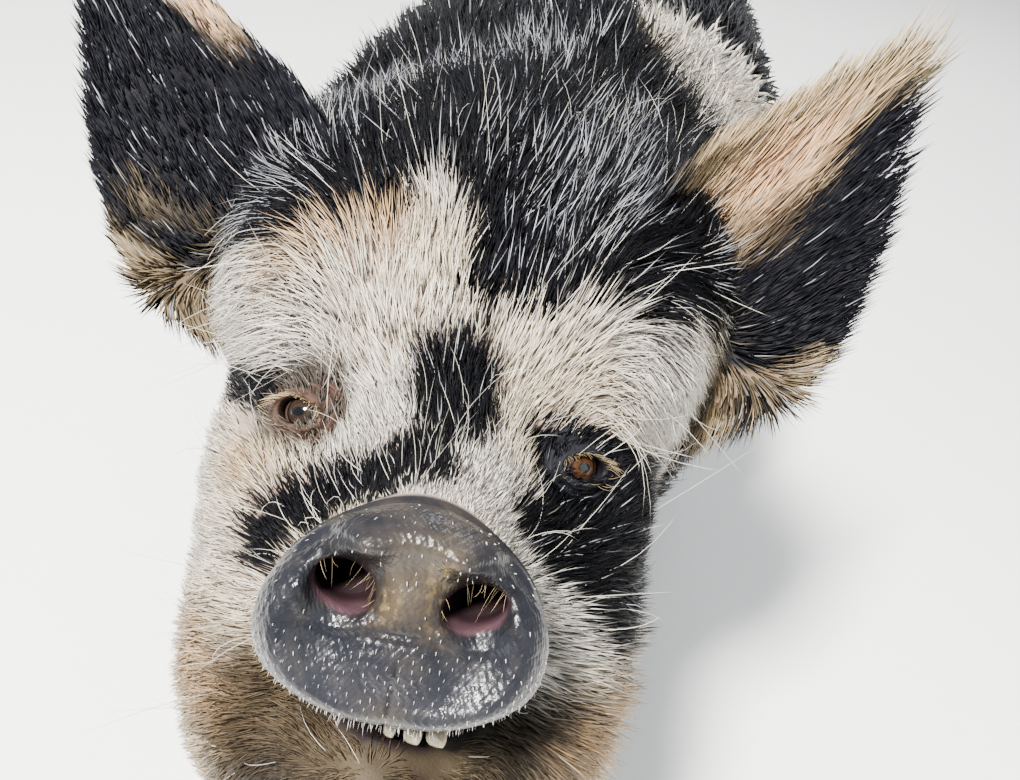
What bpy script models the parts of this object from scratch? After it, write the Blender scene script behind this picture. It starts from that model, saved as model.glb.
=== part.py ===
"""A life-size kunekune pig, standing on four feet with its snout raised and its head turned a little
to its left. It faces -Y, its left side is +X, the floor is z = 0 and all sizes are in metres.

The flesh is one smooth field of overlapping masses, meshed once as a core that reaches half way out
to the coat's tips. Flat locks that bend and overlap along the lie of the coat are fused to it, and
the whole is parted with thin cuts into torso, neck, head, snout, lower jaw and legs. Ears, tail,
tassels, hooves and eyes are pieces of their own that meet the flesh face to face."""

import math

import bmesh
import bpy
import numpy as np
from mathutils import Matrix, Vector
from mathutils.bvhtree import BVHTree

GAP = 0.0003
SIDES = {"left": 1, "right": -1}
DIFFERENCE, INTERSECT = "DIFFERENCE", "INTERSECT"

# The grid that the flesh is meshed on: low, high, coarse step, and the stretch with a fine step.
FLESH_GRID = (
    (-0.26, 0.26, 0.010, -0.13, 0.13, 0.005),
    (-0.68, 0.62, 0.012, -0.66, -0.40, 0.005),
    (-0.02, 0.70, 0.009, 0.36, 0.66, 0.005),
)
FLESH_TRIANGLES = 4200
POKES = 4

# The head has its own frame: origin midway between the eyes, +x to the pig's left, +y back, +z up.
HEAD_AT = Vector((0.0, -0.475, 0.510))
HEAD_PITCH = math.radians(42)
HEAD_YAW = math.radians(8.5)
HEAD_ROLL = math.radians(3)
HEAD_TURN = (
    Matrix.Rotation(HEAD_YAW, 3, "Z")
    @ Matrix.Rotation(-HEAD_PITCH, 3, "X")
    @ Matrix.Rotation(HEAD_ROLL, 3, "Y")
)
HEAD_FRAME = Matrix.Translation(HEAD_AT) @ HEAD_TURN.to_4x4()

# Masses of the torso and neck: centre and half-sizes.
TORSO_MASSES = (
    ((0, -0.110, 0.405), (0.172, 0.180, 0.180)),
    ((0, 0.130, 0.385), (0.207, 0.330, 0.192)),
    ((0, 0.150, 0.305), (0.196, 0.270, 0.130)),
    ((0, 0.385, 0.392), (0.178, 0.170, 0.175)),
)
TORSO_BLEND = 0.09
NECK_MASSES = (
    ((0, -0.225, 0.475), (0.146, 0.160, 0.125)),
    ((0, -0.300, 0.400), (0.122, 0.130, 0.120)),
)
NECK_BLEND = 0.07
HEAD_TO_NECK_BLEND = 0.045

# Legs, for the left side: the mass at the top, then the joints down to the pastern with each radius.
FRONT_SHOULDER = ((0.112, -0.125, 0.345), (0.075, 0.105, 0.135))
FRONT_JOINTS = (
    ((0.120, -0.105, 0.275), 0.058),
    ((0.118, -0.120, 0.170), 0.036),
    ((0.116, -0.118, 0.085), 0.027),
    ((0.116, -0.130, 0.030), 0.031),
)
HIND_THIGH = ((0.110, 0.375, 0.320), (0.085, 0.135, 0.150))
HIND_JOINTS = (
    ((0.122, 0.375, 0.255), 0.066),
    ((0.120, 0.462, 0.185), 0.037),
    ((0.118, 0.445, 0.090), 0.027),
    ((0.118, 0.430, 0.030), 0.031),
)
LEG_BLEND = 0.045
# How far each foot stands ahead of (negative) or behind its even place.
STEP = {"front_left": -0.022, "front_right": 0.018, "hind_left": 0.024, "hind_right": -0.022}

# Head masses in the head frame; those with a side are mirrored.
CRANIUM = ((0, 0.095, 0.075), (0.106, 0.088, 0.108))
FOREHEAD = ((0, 0.050, 0.055), (0.070, 0.052, 0.072))
BROW = ((0.060, 0.030, 0.056), (0.046, 0.034, 0.042))
ZYGOMA = ((0.064, 0.050, -0.012), (0.034, 0.048, 0.044))
MUZZLE = ((0, -0.058, -0.047), 0.0375, (0, 0.010, -0.045), 0.062)
BRIDGE = ((0, -0.070, -0.028), 0.018, (0, 0.012, 0.008), 0.034)
CHEEK = ((0.052, 0.045, -0.060), (0.045, 0.072, 0.078))
JOWL = ((0.042, 0.030, -0.112), (0.044, 0.064, 0.056))
CHIN = ((0, -0.036, -0.118), 0.020, (0, 0.030, -0.125), 0.050)
CHIN_TIP = ((0, -0.038, -0.118), (0.034, 0.032, 0.022))
TEMPLE = ((0.086, 0.090, 0.078), (0.034, 0.040, 0.074))
HEAD_BLEND = 0.034

# The bare disc at the end of the snout, its nostrils, and the mouth under it with two lower teeth.
DISC_AT = (0, -0.087, -0.0445)
DISC_UP = math.radians(8)
DISC_HALF = (0.0452, 0.0345)
DISC_ROUND = 0.009
DISC_FLAT = 0.004
DISC_NARROWS = 2.6
NOSTRIL_AT = (0.0202, -0.096, -0.0365)
NOSTRIL_HALF = (0.0088, 0.022, 0.0076)
MOUTH_AT = (0, -0.066, -0.0890)
MOUTH_HALF = (0.036, 0.030, 0.0064)
MOUTH_SLOPE = math.radians(-7)
MOUTH_CORNER_Y = -0.012
MOUTH_OPEN = 0.0022
TOOTH_X = (-0.0064, 0.0064)
TOOTH_AT = (-0.0625, -0.1025)
TOOTH_LEAN = math.radians(14)
TOOTH_SIZE = (0.0047, 0.0032, 0.020)
SNOUT_BACK_Y = -0.060

# The eye, its lids and the way it looks, for the left side.
EYE = (0.0555, 0.004, 0.004)
EYE_RADIUS = 0.0125
EYE_LOOKS = (0.42, -0.90, 0.10)
EYE_HOLLOW, EYE_HOLLOW_AHEAD = (0.021, 0.016, 0.013), 0.021
LID_RADIUS = 0.0172
LID_OPENING = (0.0106, 0.0060, 0.0120)

# Ears in the head frame: the middle of the base, the tip and the way the cup faces. Widths run from
# base to tip, on the outer and the inner side of the line between them.
EAR_BASE = {"left": (0.112, 0.094, 0.096), "right": (-0.110, 0.094, 0.092)}
EAR_TIP = {"left": (0.200, 0.066, 0.243), "right": (-0.218, 0.060, 0.218)}
EAR_FACES = {"left": (0.16, -0.98, -0.10), "right": (-0.16, -0.98, -0.10)}
EAR_OUTER = (0.034, 0.058, 0.063, 0.058, 0.050, 0.036, 0.020, 0.004)
EAR_INNER = (0.044, 0.058, 0.056, 0.050, 0.038, 0.027, 0.017, 0.004)
EAR_CURL = (80, 75, 60, 48, 38, 30, 24, 20)
EAR_ROOT = -0.26
EAR_THICK = 0.0065
EAR_ROWS, EAR_COLUMNS = 9, 6

# How far the coat stands off the skin at the snout, on the face, on the body and at the feet, and
# where it changes: along the head's y, then with the distance from an eye and above the floor.
COAT_MUZZLE, COAT_FACE, COAT_BODY, COAT_FOOT = 0.002, 0.009, 0.018, 0.004
SNOUT_TURNS, FACE_TURNS, NECK_TURNS = (-0.096, -0.080), (-0.080, -0.010), (0.050, 0.190)
EYE_TURNS, FOOT_TURNS = (0.016, 0.040), (0.06, 0.28)
COAT_AT_EYE = 0.15
CORE_SHARE = 0.5

# Parting planes. The head's are in the head frame: a point and the way out of the piece.
HEAD_BACK = ((0, 0.135, 0.050), (0, 0.97, -0.22))
NECK_BACK = ((0, -0.200, 0.450), (0, 0.93, -0.37))
LEG_INNER_X = 0.040
FRONT_LEG_PLANES = (
    ((LEG_INNER_X, 0, 0.215), (-0.30, 0, 1)),
    ((0, -0.030, 0.240), (0, 1, 0.40)),
)
HIND_LEG_PLANES = (
    ((LEG_INNER_X, 0, 0.210), (-0.30, 0, 1)),
    ((0, 0.292, 0.240), (0, -1, 0)),
)
HOOF_TOP = 0.034

# The move that brings the middle of the outline, seen from above, over the origin.
OVER_ORIGIN = (0.0105, -0.0110, 0)

# Locks of the coat: length, width and thickness, on the face and on the body. Their sections are
# given by step along the lock, width, and rise from the core towards the tips of the coat, and
# their roots are sunk into the core.
SEED = 11
FACE_LOCK, BODY_LOCK = (0.064, 0.040, 0.0038), (0.165, 0.092, 0.0060)
LOCK_GROWS = (0.09, 0.26)
LOCK_VARIES = (0.85, 1.15)
LOCK_SPACING = 0.86
LOCK_TURN = math.radians(12)
LOCK_STEPS = 8
LOCK_SECTIONS = ((0, 0.55, -1.0), (3, 1.0, 0.35), (6, 0.72, 0.75))
LOCK_ROOT_DEPTH = 0.006
LOCK_THINS_WITH_WIDTH = 1.4
LOCK_CLEARANCE = 0.0015
ROOT_TRIES = 9000

# The coat lies away from a point before the snout on the head, and back and down on the body.
COAT_STARTS = (0, -0.130, -0.060)
LIE_TURNS = (0.10, 0.24)
BODY_LIE = (0, 0.88, -0.46)

# Where no lock grows: round each eye, on the snout, along the mouth and near the legs.
BARE_ROUND_EYE = 0.030
BARE_BEFORE = -0.030
BARE_MOUTH, BARE_MOUTH_BACK = 0.012, 0.01
LEG_MARGIN = 0.006

# Locks along the rim of each ear: how far from base to tip, which edge, length, and how far they
# stand out from the rim for each length along it. Their sections are given by share of the length
# and by width.
FRINGE = (
    (0.04, 1, 0.038, 0.7), (0.18, 1, 0.034, 0.45), (0.34, 1, 0.032, 0.25), (0.50, 1, 0.032, 0.22),
    (0.66, 1, 0.034, 0.22), (0.82, 1, 0.042, 0.28), (0.92, -1, 0.046, 0.10), (0.80, -1, 0.042, 0.32),
    (0.64, -1, 0.036, 0.35), (0.46, -1, 0.032, 0.35),
)
FRINGE_INSET = 0.80
FRINGE_WIDTH, FRINGE_THICK = 0.024, 0.0045
FRINGE_SECTIONS = ((-0.25, 0.6), (0.3, 1.0), (0.7, 0.6))
FRINGE_STAND_VARIES, FRINGE_VARIES = (0, 0.1), (0.9, 1.1)
FRINGE_DROOP = 0.1
RIM_STEP_ALONG, RIM_STEP_INWARD = 0.05, 0.7

# Hooves and dewclaws: half-sizes of each toe at the floor and at the crown, and places from the foot.
HOOF_BOTTOM = (0.0140, 0.0275)
HOOF_CROWN = (0.0115, 0.0215)
HOOF_SPREAD = 0.0148
HOOF_LEAN = -0.008
DEWCLAW = (0.0080, 0.0045, 0.026)
DEWCLAW_AT = (0.014, 0.041, 0.056)
DEWCLAW_LEAN = math.radians(40)

TAIL_PATH = (
    (0, 0.500, 0.478), (0, 0.560, 0.468), (0.006, 0.592, 0.430), (0.012, 0.598, 0.380),
    (0.004, 0.604, 0.330), (-0.006, 0.612, 0.290), (-0.008, 0.618, 0.250), (-0.006, 0.622, 0.215),
)
TAIL_RADII = (0.022, 0.018, 0.014, 0.011, 0.009, 0.008, 0.007, 0.003)
TUFT_LOCKS, TUFT_FROM = 8, 7
TUFT_LENGTH, TUFT_WIDTH, TUFT_THICK = 0.070, 0.016, 0.0040
TUFT_VARIES = (0.85, 1.15)
TUFT_TURN = math.radians(137.5)
# The tuft's sections: share of a lock's length, width, and distance from the middle of the tail.
TUFT_SECTIONS, TUFT_TIP_OUT = ((0, 0.5, 0.3), (0.35, 1.0, 1.1), (0.7, 0.7, 1.3)), 0.9
TASSEL_AT = (0.040, 0.000, -0.110)
TASSEL_HEIGHTS = (0.014, 0.0, -0.014, -0.028, -0.040, -0.046)
TASSEL_RADII = (0.0055, 0.0055, 0.0070, 0.0080, 0.0072, 0.0030)

# Colour, roughness and metallic value of each material.
FINISHES = {
    "black_coat": ((0.020, 0.020, 0.024, 1), 0.55, 0),
    "white_coat": ((0.62, 0.55, 0.44, 1), 0.65, 0),
    "snout_skin": ((0.075, 0.075, 0.088, 1), 0.30, 0),
    "pink_skin": ((0.55, 0.33, 0.28, 1), 0.5, 0),
    "hoof_horn": ((0.10, 0.085, 0.07, 1), 0.45, 0),
    "eye_gloss": ((0.10, 0.055, 0.03, 1), 0.05, 0),
}


def smooth_min(a, b, blend):
    overlap = np.maximum(blend - np.abs(a - b), 0.0) / blend
    return np.minimum(a, b) - overlap * overlap * blend / 4


def smooth_max(a, b, blend):
    return -smooth_min(-a, -b, blend)


def ease(value, low, high):
    """0 below low, 1 above high and smooth between."""
    t = np.clip((value - low) / (high - low), 0, 1)
    return t * t * (3 - 2 * t)


def ellipsoid(points, centre, radii):
    """About the distance to an ellipsoid, below 0 inside it."""
    q = (points - np.array(centre)) / np.array(radii)
    reach = np.linalg.norm(q, axis=1)
    slope = np.linalg.norm(q / np.array(radii), axis=1)
    return reach * (reach - 1) / np.maximum(slope, 1e-9)


def tapered(points, start, start_radius, end, end_radius):
    """The distance to a rounded limb that tapers from start to end."""
    start, end = np.array(start, float), np.array(end, float)
    along = end - start
    share = np.clip((points - start) @ along / (along @ along), 0, 1)
    middle = start + share[:, None] * along
    radius = start_radius + share * (end_radius - start_radius)
    return np.linalg.norm(points - middle, axis=1) - radius


def mirrored(mass, side):
    """A left-side mass, or the same on the right."""
    (x, y, z), radii = mass
    return (x * side, y, z), radii


def leg_joints(end, name):
    """A leg's joints with their radii, moved towards the place of its foot."""
    joints = FRONT_JOINTS if end == "front" else HIND_JOINTS
    step = STEP[f"{end}_{name}"]
    moved = []
    for number, ((x, y, z), radius) in enumerate(joints):
        moved.append(((x * SIDES[name], y + step * number / (len(joints) - 1), z), radius))
    return moved


def leg_field(points, end, name):
    mass = FRONT_SHOULDER if end == "front" else HIND_THIGH
    shape = ellipsoid(points, *mirrored(mass, SIDES[name]))
    joints = leg_joints(end, name)
    for (start, start_radius), (finish, finish_radius) in zip(joints, joints[1:]):
        limb = tapered(points, start, start_radius, finish, finish_radius)
        shape = smooth_min(shape, limb, 0.5 * LEG_BLEND)
    return shape


def disc_field(local):
    """The flat nose disc: an oval plate with a rounded rim, narrower towards its top."""
    q = local - np.array(DISC_AT)
    depth = q[:, 1] * math.cos(DISC_UP) + q[:, 2] * math.sin(DISC_UP)
    height = q[:, 2] * math.cos(DISC_UP) - q[:, 1] * math.sin(DISC_UP)
    narrowing = 1 - DISC_NARROWS * np.clip(height, -0.02, 0.05)
    oval = np.stack([q[:, 0] / narrowing, height, np.zeros(len(q))], 1)
    half = (DISC_HALF[0] - DISC_ROUND, DISC_HALF[1] - DISC_ROUND, 1.0)
    rim = ellipsoid(oval, (0, 0, 0), half)
    face = np.abs(depth) - DISC_FLAT
    outside = np.hypot(np.maximum(rim, 0), np.maximum(face, 0))
    return outside + np.minimum(np.maximum(rim, face), 0) - DISC_ROUND


def eye_region(shape, local, side):
    """A shallow hollow in front of the eye with the swelling of the lids in it."""
    centre = np.array((EYE[0] * side, EYE[1], EYE[2]))
    looks = np.array((EYE_LOOKS[0] * side, EYE_LOOKS[1], EYE_LOOKS[2]))
    hollow = ellipsoid(local, centre + EYE_HOLLOW_AHEAD * looks, EYE_HOLLOW)
    shape = smooth_max(shape, -hollow, 0.014)
    return smooth_min(shape, np.linalg.norm(local - centre, axis=1) - LID_RADIUS, 0.007)


def head_field(local):
    """Skull, cheeks, jowls, chin, snout and lids, in the head frame."""
    shape = smooth_min(ellipsoid(local, *CRANIUM), ellipsoid(local, *FOREHEAD), HEAD_BLEND)
    shape = smooth_min(shape, tapered(local, *MUZZLE), HEAD_BLEND)
    shape = smooth_min(shape, tapered(local, *BRIDGE), 0.6 * HEAD_BLEND)
    shape = smooth_min(shape, tapered(local, *CHIN), 0.4 * HEAD_BLEND)
    shape = smooth_min(shape, ellipsoid(local, *CHIN_TIP), 0.4 * HEAD_BLEND)
    for side in SIDES.values():
        for mass in (CHEEK, JOWL, TEMPLE, ZYGOMA):
            shape = smooth_min(shape, ellipsoid(local, *mirrored(mass, side)), HEAD_BLEND)
        shape = smooth_min(shape, ellipsoid(local, *mirrored(BROW, side)), 0.7 * HEAD_BLEND)
        shape = eye_region(shape, local, side)
    return smooth_min(shape, disc_field(local), 0.008)


def in_head_frame(points):
    return (points - np.array(HEAD_AT)) @ np.array(HEAD_TURN)


def flesh(points):
    """The skin of the whole pig but for ears, tail, tassels and hooves: below 0 inside."""
    shape = ellipsoid(points, *TORSO_MASSES[0])
    for mass in TORSO_MASSES[1:]:
        shape = smooth_min(shape, ellipsoid(points, *mass), TORSO_BLEND)
    for mass in NECK_MASSES:
        shape = smooth_min(shape, ellipsoid(points, *mass), NECK_BLEND)
    for name in SIDES:
        for end in ("front", "hind"):
            shape = smooth_min(shape, leg_field(points, end, name), LEG_BLEND)
    return smooth_min(shape, head_field(in_head_frame(points)), HEAD_TO_NECK_BLEND)


def coat_depth(points):
    """How far the coat's tips stand off the skin at each point."""
    local = in_head_frame(points)
    depth = COAT_MUZZLE * ease(local[:, 1], *SNOUT_TURNS)
    depth += (COAT_FACE - COAT_MUZZLE) * ease(local[:, 1], *FACE_TURNS)
    depth += (COAT_BODY - COAT_FACE) * ease(local[:, 1], *NECK_TURNS)
    eyes = np.minimum(
        np.linalg.norm(local - np.array(EYE), axis=1),
        np.linalg.norm(local - np.array((-EYE[0], EYE[1], EYE[2])), axis=1),
    )
    depth *= COAT_AT_EYE + (1 - COAT_AT_EYE) * ease(eyes, *EYE_TURNS)
    return COAT_FOOT + (depth - COAT_FOOT) * ease(points[:, 2], *FOOT_TURNS)


def coated(points):
    """The surface of the pig with its coat on, as deep as the core of the coat reaches."""
    return flesh(points) - CORE_SHARE * coat_depth(points)


def slopes(field, points, step=0.0005):
    """The field's gradient at each point."""
    parts = []
    for axis in np.eye(3) * step:
        parts.append((field(points + axis) - field(points - axis)) / (2 * step))
    return np.stack(parts, 1)


def onto(field, points, rounds=3):
    """The points moved along the gradient until the field is 0 there."""
    for _ in range(rounds):
        slope = slopes(field, points)
        size = np.maximum((slope**2).sum(1), 0.05)
        points = points - (field(points) / size)[:, None] * slope
    return points


def graded(low, high, coarse, fine_low, fine_high, fine):
    """Grid lines from low to high, closer together between fine_low and fine_high."""
    lines = [low]
    while lines[-1] < high:
        lines.append(lines[-1] + (fine if fine_low <= lines[-1] <= fine_high else coarse))
    return np.array(lines)


def corner(values, shift):
    """The grid values at one corner of every cell."""
    i, j, k = (slice(s, s - 1 or None) for s in shift)
    return values[i, j, k]


def crossing_points(grid, values):
    """For each cell that the surface crosses, the mean of where it crosses the cell's edges."""
    cells = tuple(n - 1 for n in values.shape)
    total, hits = np.zeros((*cells, 3)), np.zeros(cells)
    for axis in range(3):
        first, second = (a for a in range(3) if a != axis)
        for side in range(4):
            near = [0, 0, 0]
            near[first], near[second] = side % 2, side // 2
            far = list(near)
            far[axis] = 1
            a, b = corner(values, near), corner(values, far)
            crossed = (a < 0) != (b < 0)
            share = np.where(crossed, a / np.where(a == b, 1, a - b), 0)[..., None]
            place = corner(grid, near) * (1 - share) + corner(grid, far) * share
            total += place * crossed[..., None]
            hits += crossed
    return total, hits


def surface_of(field, xs, ys, zs):
    """The surface where the field is 0: a vertex in each grid cell that it crosses, and quads."""
    grid = np.stack(np.meshgrid(xs, ys, zs, indexing="ij"), -1)
    values = field(grid.reshape(-1, 3)).reshape(grid.shape[:3])
    total, hits = crossing_points(grid, values)
    used = hits > 0
    number = np.full(used.shape, -1)
    number[used] = np.arange(used.sum())
    faces = []
    for axis in range(3):
        first, second = (axis + 1) % 3, (axis + 2) % 3
        low = [slice(1, -1)] * 3
        low[axis] = slice(0, -1)
        high = list(low)
        high[axis] = slice(1, None)
        a, b = values[tuple(low)], values[tuple(high)]
        crossed = np.argwhere((a < 0) != (b < 0))
        leaving = (a < 0)[tuple(crossed.T)]
        crossed[:, first] += 1
        crossed[:, second] += 1
        around = []
        for back_first, back_second in ((1, 1), (0, 1), (0, 0), (1, 0)):
            cell = crossed.copy()
            cell[:, first] -= back_first
            cell[:, second] -= back_second
            around.append(number[tuple(cell.T)])
        quads = np.stack(around, 1)
        quads[~leaving] = quads[~leaving][:, ::-1]
        faces.append(quads)
    return onto(field, total[used] / hits[used][:, None]), np.concatenate(faces)


def new_object(name, mesh, frame=None):
    made = bpy.data.objects.new(name, mesh)
    bpy.context.scene.collection.objects.link(made)
    if frame is not None:
        mesh.transform(frame)
    return made


def from_bmesh(name, bm, frame=None):
    mesh = bpy.data.meshes.new(name)
    bmesh.ops.recalc_face_normals(bm, faces=bm.faces)
    bm.to_mesh(mesh)
    bm.free()
    return new_object(name, mesh, frame)


def remove(thing):
    mesh = thing.data
    bpy.data.objects.remove(thing)
    bpy.data.meshes.remove(mesh)


def applied(thing):
    """The object with its modifiers made part of its mesh."""
    graph = bpy.context.evaluated_depsgraph_get()
    mesh = bpy.data.meshes.new_from_object(thing.evaluated_get(graph))
    thing.modifiers.clear()
    old = thing.data
    thing.data = mesh
    bpy.data.meshes.remove(old)
    return thing


def boolean(thing, other, operation, solver="EXACT"):
    """Cuts thing with other, or keeps what they share. The other object stays."""
    step = thing.modifiers.new(operation.lower(), "BOOLEAN")
    step.operation = operation
    step.object = other
    step.solver = solver
    return applied(thing)


def copy_of(thing, name):
    return new_object(name, thing.data.copy())


def grown(thing, amount):
    """A copy of the object with each vertex moved out along its normal."""
    made = copy_of(thing, "grown")
    normals = [v.normal.copy() for v in made.data.vertices]
    for vertex, normal in zip(made.data.vertices, normals):
        vertex.co += normal * amount
    return made


def keep_largest(thing):
    """Deletes all but the largest closed surface of a mesh."""
    bm = bmesh.new()
    bm.from_mesh(thing.data)
    left, groups = set(bm.faces), []
    while left:
        group, edge = [], [left.pop()]
        while edge:
            face = edge.pop()
            group.append(face)
            for loop_edge in face.edges:
                for other in loop_edge.link_faces:
                    if other in left:
                        left.remove(other)
                        edge.append(other)
        groups.append(group)
    largest = max(groups, key=lambda faces: sum(f.calc_area() for f in faces))
    loose = [f for group in groups if group is not largest for f in group]
    bmesh.ops.delete(bm, geom=loose, context="FACES")
    bm.to_mesh(thing.data)
    bm.free()
    return thing


def doubled_edges(bm):
    """Pairs of corners whose edge would carry more than two triangles."""
    trial = bm.copy()
    bmesh.ops.triangulate(trial, faces=trial.faces)
    pairs = [[v.index for v in edge.verts] for edge in trial.edges if len(edge.link_faces) > 2]
    trial.free()
    return pairs


def triangulated(thing):
    """Cuts the faces into triangles so that no diagonal lies over another face's edge."""
    bm = bmesh.new()
    bm.from_mesh(thing.data)
    for _ in range(POKES):
        for pair in doubled_edges(bm):
            bm.verts.ensure_lookup_table()
            one, two = (bm.verts[index] for index in pair)
            edge = bm.edges.get((one, two))
            wide = [f for f in one.link_faces if two in f.verts and (not edge or edge not in f.edges)]
            bmesh.ops.poke(bm, faces=wide[:1])
            bm.verts.index_update()
    bmesh.ops.triangulate(bm, faces=bm.faces)
    bm.to_mesh(thing.data)
    bm.free()


def trimmed(thing, *neighbours):
    """Cuts a piece back so that it meets its neighbours with the usual gap."""
    for neighbour in neighbours:
        cutter = grown(neighbour, GAP)
        boolean(thing, cutter, DIFFERENCE)
        remove(cutter)
    return keep_largest(thing)


def cell(name, planes, spare=0.0):
    """A big block cut down to what lies inside every plane, each moved out by its gap where asked."""
    bm = bmesh.new()
    bmesh.ops.create_cube(bm, size=4)
    for point, normal, gap in planes:
        normal = Vector(normal).normalized()
        geometry = bm.verts[:] + bm.edges[:] + bm.faces[:]
        place = Vector(point) + normal * gap * spare
        bmesh.ops.bisect_plane(bm, geom=geometry, plane_co=place, plane_no=normal, clear_outer=True)
        bmesh.ops.edgeloop_fill(bm, edges=[e for e in bm.edges if e.is_boundary])
    return from_bmesh(name, bm)


def part_off(rest, name, planes):
    """Cuts the piece inside the planes off the rest, and leaves each plane's gap between the two."""
    inside, outside = cell("inside", planes), cell("outside", planes, spare=1.0)
    piece = boolean(copy_of(rest, name), inside, INTERSECT, "MANIFOLD")
    boolean(rest, outside, DIFFERENCE, "MANIFOLD")
    remove(inside)
    remove(outside)
    keep_largest(rest)
    return keep_largest(piece)


def head_plane(point, normal, gap=GAP):
    """A parting plane that is given in the head frame."""
    return HEAD_FRAME @ Vector(point), HEAD_TURN @ Vector(normal), gap


def whole_flesh():
    """The core of the whole body as one mesh, finer where it curves more."""
    points, faces = surface_of(coated, *(graded(*run) for run in FLESH_GRID))
    mesh = bpy.data.meshes.new("whole")
    mesh.from_pydata([tuple(p) for p in points], [], [tuple(f) for f in faces])
    made = new_object("whole", mesh)
    thin = made.modifiers.new("fewer", "DECIMATE")
    thin.ratio = FLESH_TRIANGLES / (2 * len(faces))
    return applied(made)


def open_mouth(body):
    """The lips stand a little apart under the snout."""
    gap = ball("gap", MOUTH_AT, MOUTH_HALF, HEAD_FRAME, 18, 8)
    boolean(body, gap, DIFFERENCE)
    remove(gap)
    return keep_largest(body)


def leg_planes(end, name):
    """The planes that part a leg from the torso."""
    side = SIDES[name]
    planes = [((LEG_INNER_X * side, 0, 0), (-side, 0, 0), GAP)]
    for (x, y, z), (nx, ny, nz) in FRONT_LEG_PLANES if end == "front" else HIND_LEG_PLANES:
        planes.append(((x * side, y, z), (nx * side, ny, nz), GAP))
    return planes


def parted(rest):
    """The body as its named pieces."""
    slope = math.tan(MOUTH_SLOPE)
    pieces = [
        part_off(
            rest,
            "lower_jaw",
            (
                head_plane(MOUTH_AT, (0, slope, 1), MOUTH_OPEN),
                head_plane((0, MOUTH_CORNER_Y, 0), (0, 1, 0)),
            ),
        ),
        part_off(rest, "snout", (head_plane((0, SNOUT_BACK_Y, 0), (0, 1, 0)),)),
        part_off(rest, "head", (head_plane(*HEAD_BACK),)),
        part_off(rest, "neck", ((*NECK_BACK, GAP),)),
    ]
    for name in SIDES:
        for end in ("front", "hind"):
            leg = part_off(rest, f"leg_{end}_{name}", leg_planes(end, name))
            floor = cell("foot", [((0, 0, HOOF_TOP + GAP), (0, 0, 1), GAP)])
            boolean(leg, floor, DIFFERENCE)
            remove(floor)
            pieces.append(leg)
    rest.name = "torso"
    return pieces + [rest]


def ball(name, centre, radii, frame=None, segments=16, rings=10, turn=None):
    """A closed ellipsoid."""
    bm = bmesh.new()
    bmesh.ops.create_uvsphere(bm, u_segments=segments, v_segments=rings, radius=1)
    shape = Matrix.Translation(Vector(centre)) @ (turn or Matrix.Identity(4)) @ Matrix.Diagonal((*radii, 1))
    bmesh.ops.transform(bm, matrix=shape, verts=bm.verts)
    return from_bmesh(name, bm, frame)


def eye_turn(side):
    """The turn that sets +Z along the way the eye looks and +X across the opening of its lids."""
    looks = Vector((EYE_LOOKS[0] * side, EYE_LOOKS[1], EYE_LOOKS[2])).normalized()
    across = looks.cross(Vector((0, 0, 1))).normalized()
    return Matrix((across, looks.cross(across), looks)).transposed().to_4x4()


def set_eye(head, name):
    """The eyeball, its socket in the head and the opening between the lids."""
    side = SIDES[name]
    centre = Vector((EYE[0] * side, EYE[1], EYE[2]))
    turn = eye_turn(side)
    front = centre + turn.to_3x3().col[2] * EYE_RADIUS
    opening = ball("opening", front, LID_OPENING, HEAD_FRAME, 14, 6, turn)
    socket = ball("socket", centre, [EYE_RADIUS + GAP] * 3, HEAD_FRAME, 14, 8, turn)
    for cutter in (opening, socket):
        boolean(head, cutter, DIFFERENCE)
        remove(cutter)
    keep_largest(head)
    return ball(f"eye_{name}", centre, [EYE_RADIUS] * 3, HEAD_FRAME, 14, 8, turn)


def open_nostrils(snout):
    for side in SIDES.values():
        centre = (NOSTRIL_AT[0] * side, NOSTRIL_AT[1], NOSTRIL_AT[2])
        hole = ball("nostril", centre, NOSTRIL_HALF, HEAD_FRAME, 14, 6)
        boolean(snout, hole, DIFFERENCE)
        remove(hole)
    return keep_largest(snout)


def set_teeth(jaw):
    """Two lower front teeth, which show where the lips stand a little apart."""
    across, thick, length = TOOTH_SIZE
    teeth = bpy.data.collections.new("teeth")
    bpy.context.scene.collection.children.link(teeth)
    for x in TOOTH_X:
        bm = bmesh.new()
        bmesh.ops.create_cone(
            bm, cap_ends=True, segments=8, radius1=across, radius2=0.8 * across, depth=length
        )
        lean = Matrix.Translation((x, *TOOTH_AT)) @ Matrix.Rotation(TOOTH_LEAN, 4, "X")
        bmesh.ops.transform(bm, matrix=lean @ Matrix.Diagonal((1, thick / across, 1, 1)), verts=bm.verts)
        tooth = from_bmesh("tooth", bm, HEAD_FRAME)
        bpy.context.scene.collection.objects.unlink(tooth)
        teeth.objects.link(tooth)
    fuse(jaw, teeth)
    return jaw


def fuse(thing, collection, solver="EXACT"):
    """Joins a collection of closed meshes to a piece with one Boolean union and removes them."""
    step = thing.modifiers.new("fused", "BOOLEAN")
    step.operation = "UNION"
    step.operand_type = "COLLECTION"
    step.collection = collection
    step.solver = solver
    applied(thing)
    for other in list(collection.objects):
        remove(other)
    bpy.data.collections.remove(collection)
    return keep_largest(thing)


def move_to(thing, collection):
    bpy.context.scene.collection.objects.unlink(thing)
    collection.objects.link(thing)


def tree_of(thing):
    """The faces of a mesh, for finding what it touches."""
    corners = [vertex.co for vertex in thing.data.vertices]
    return BVHTree.FromPolygons(corners, [face.vertices for face in thing.data.polygons])


def crosses_itself(thing, tree):
    """True where two faces that share no corner meet, as in a lock that folds over in a hollow."""
    faces = [set(face.vertices) for face in thing.data.polygons]
    return any(not faces[a] & faces[b] for a, b in tree.overlap(tree))


def diamond(middle, side, rise):
    """The four corners of a flat lock's section."""
    return [middle + side, middle + rise, middle - side, middle - rise]


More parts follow.
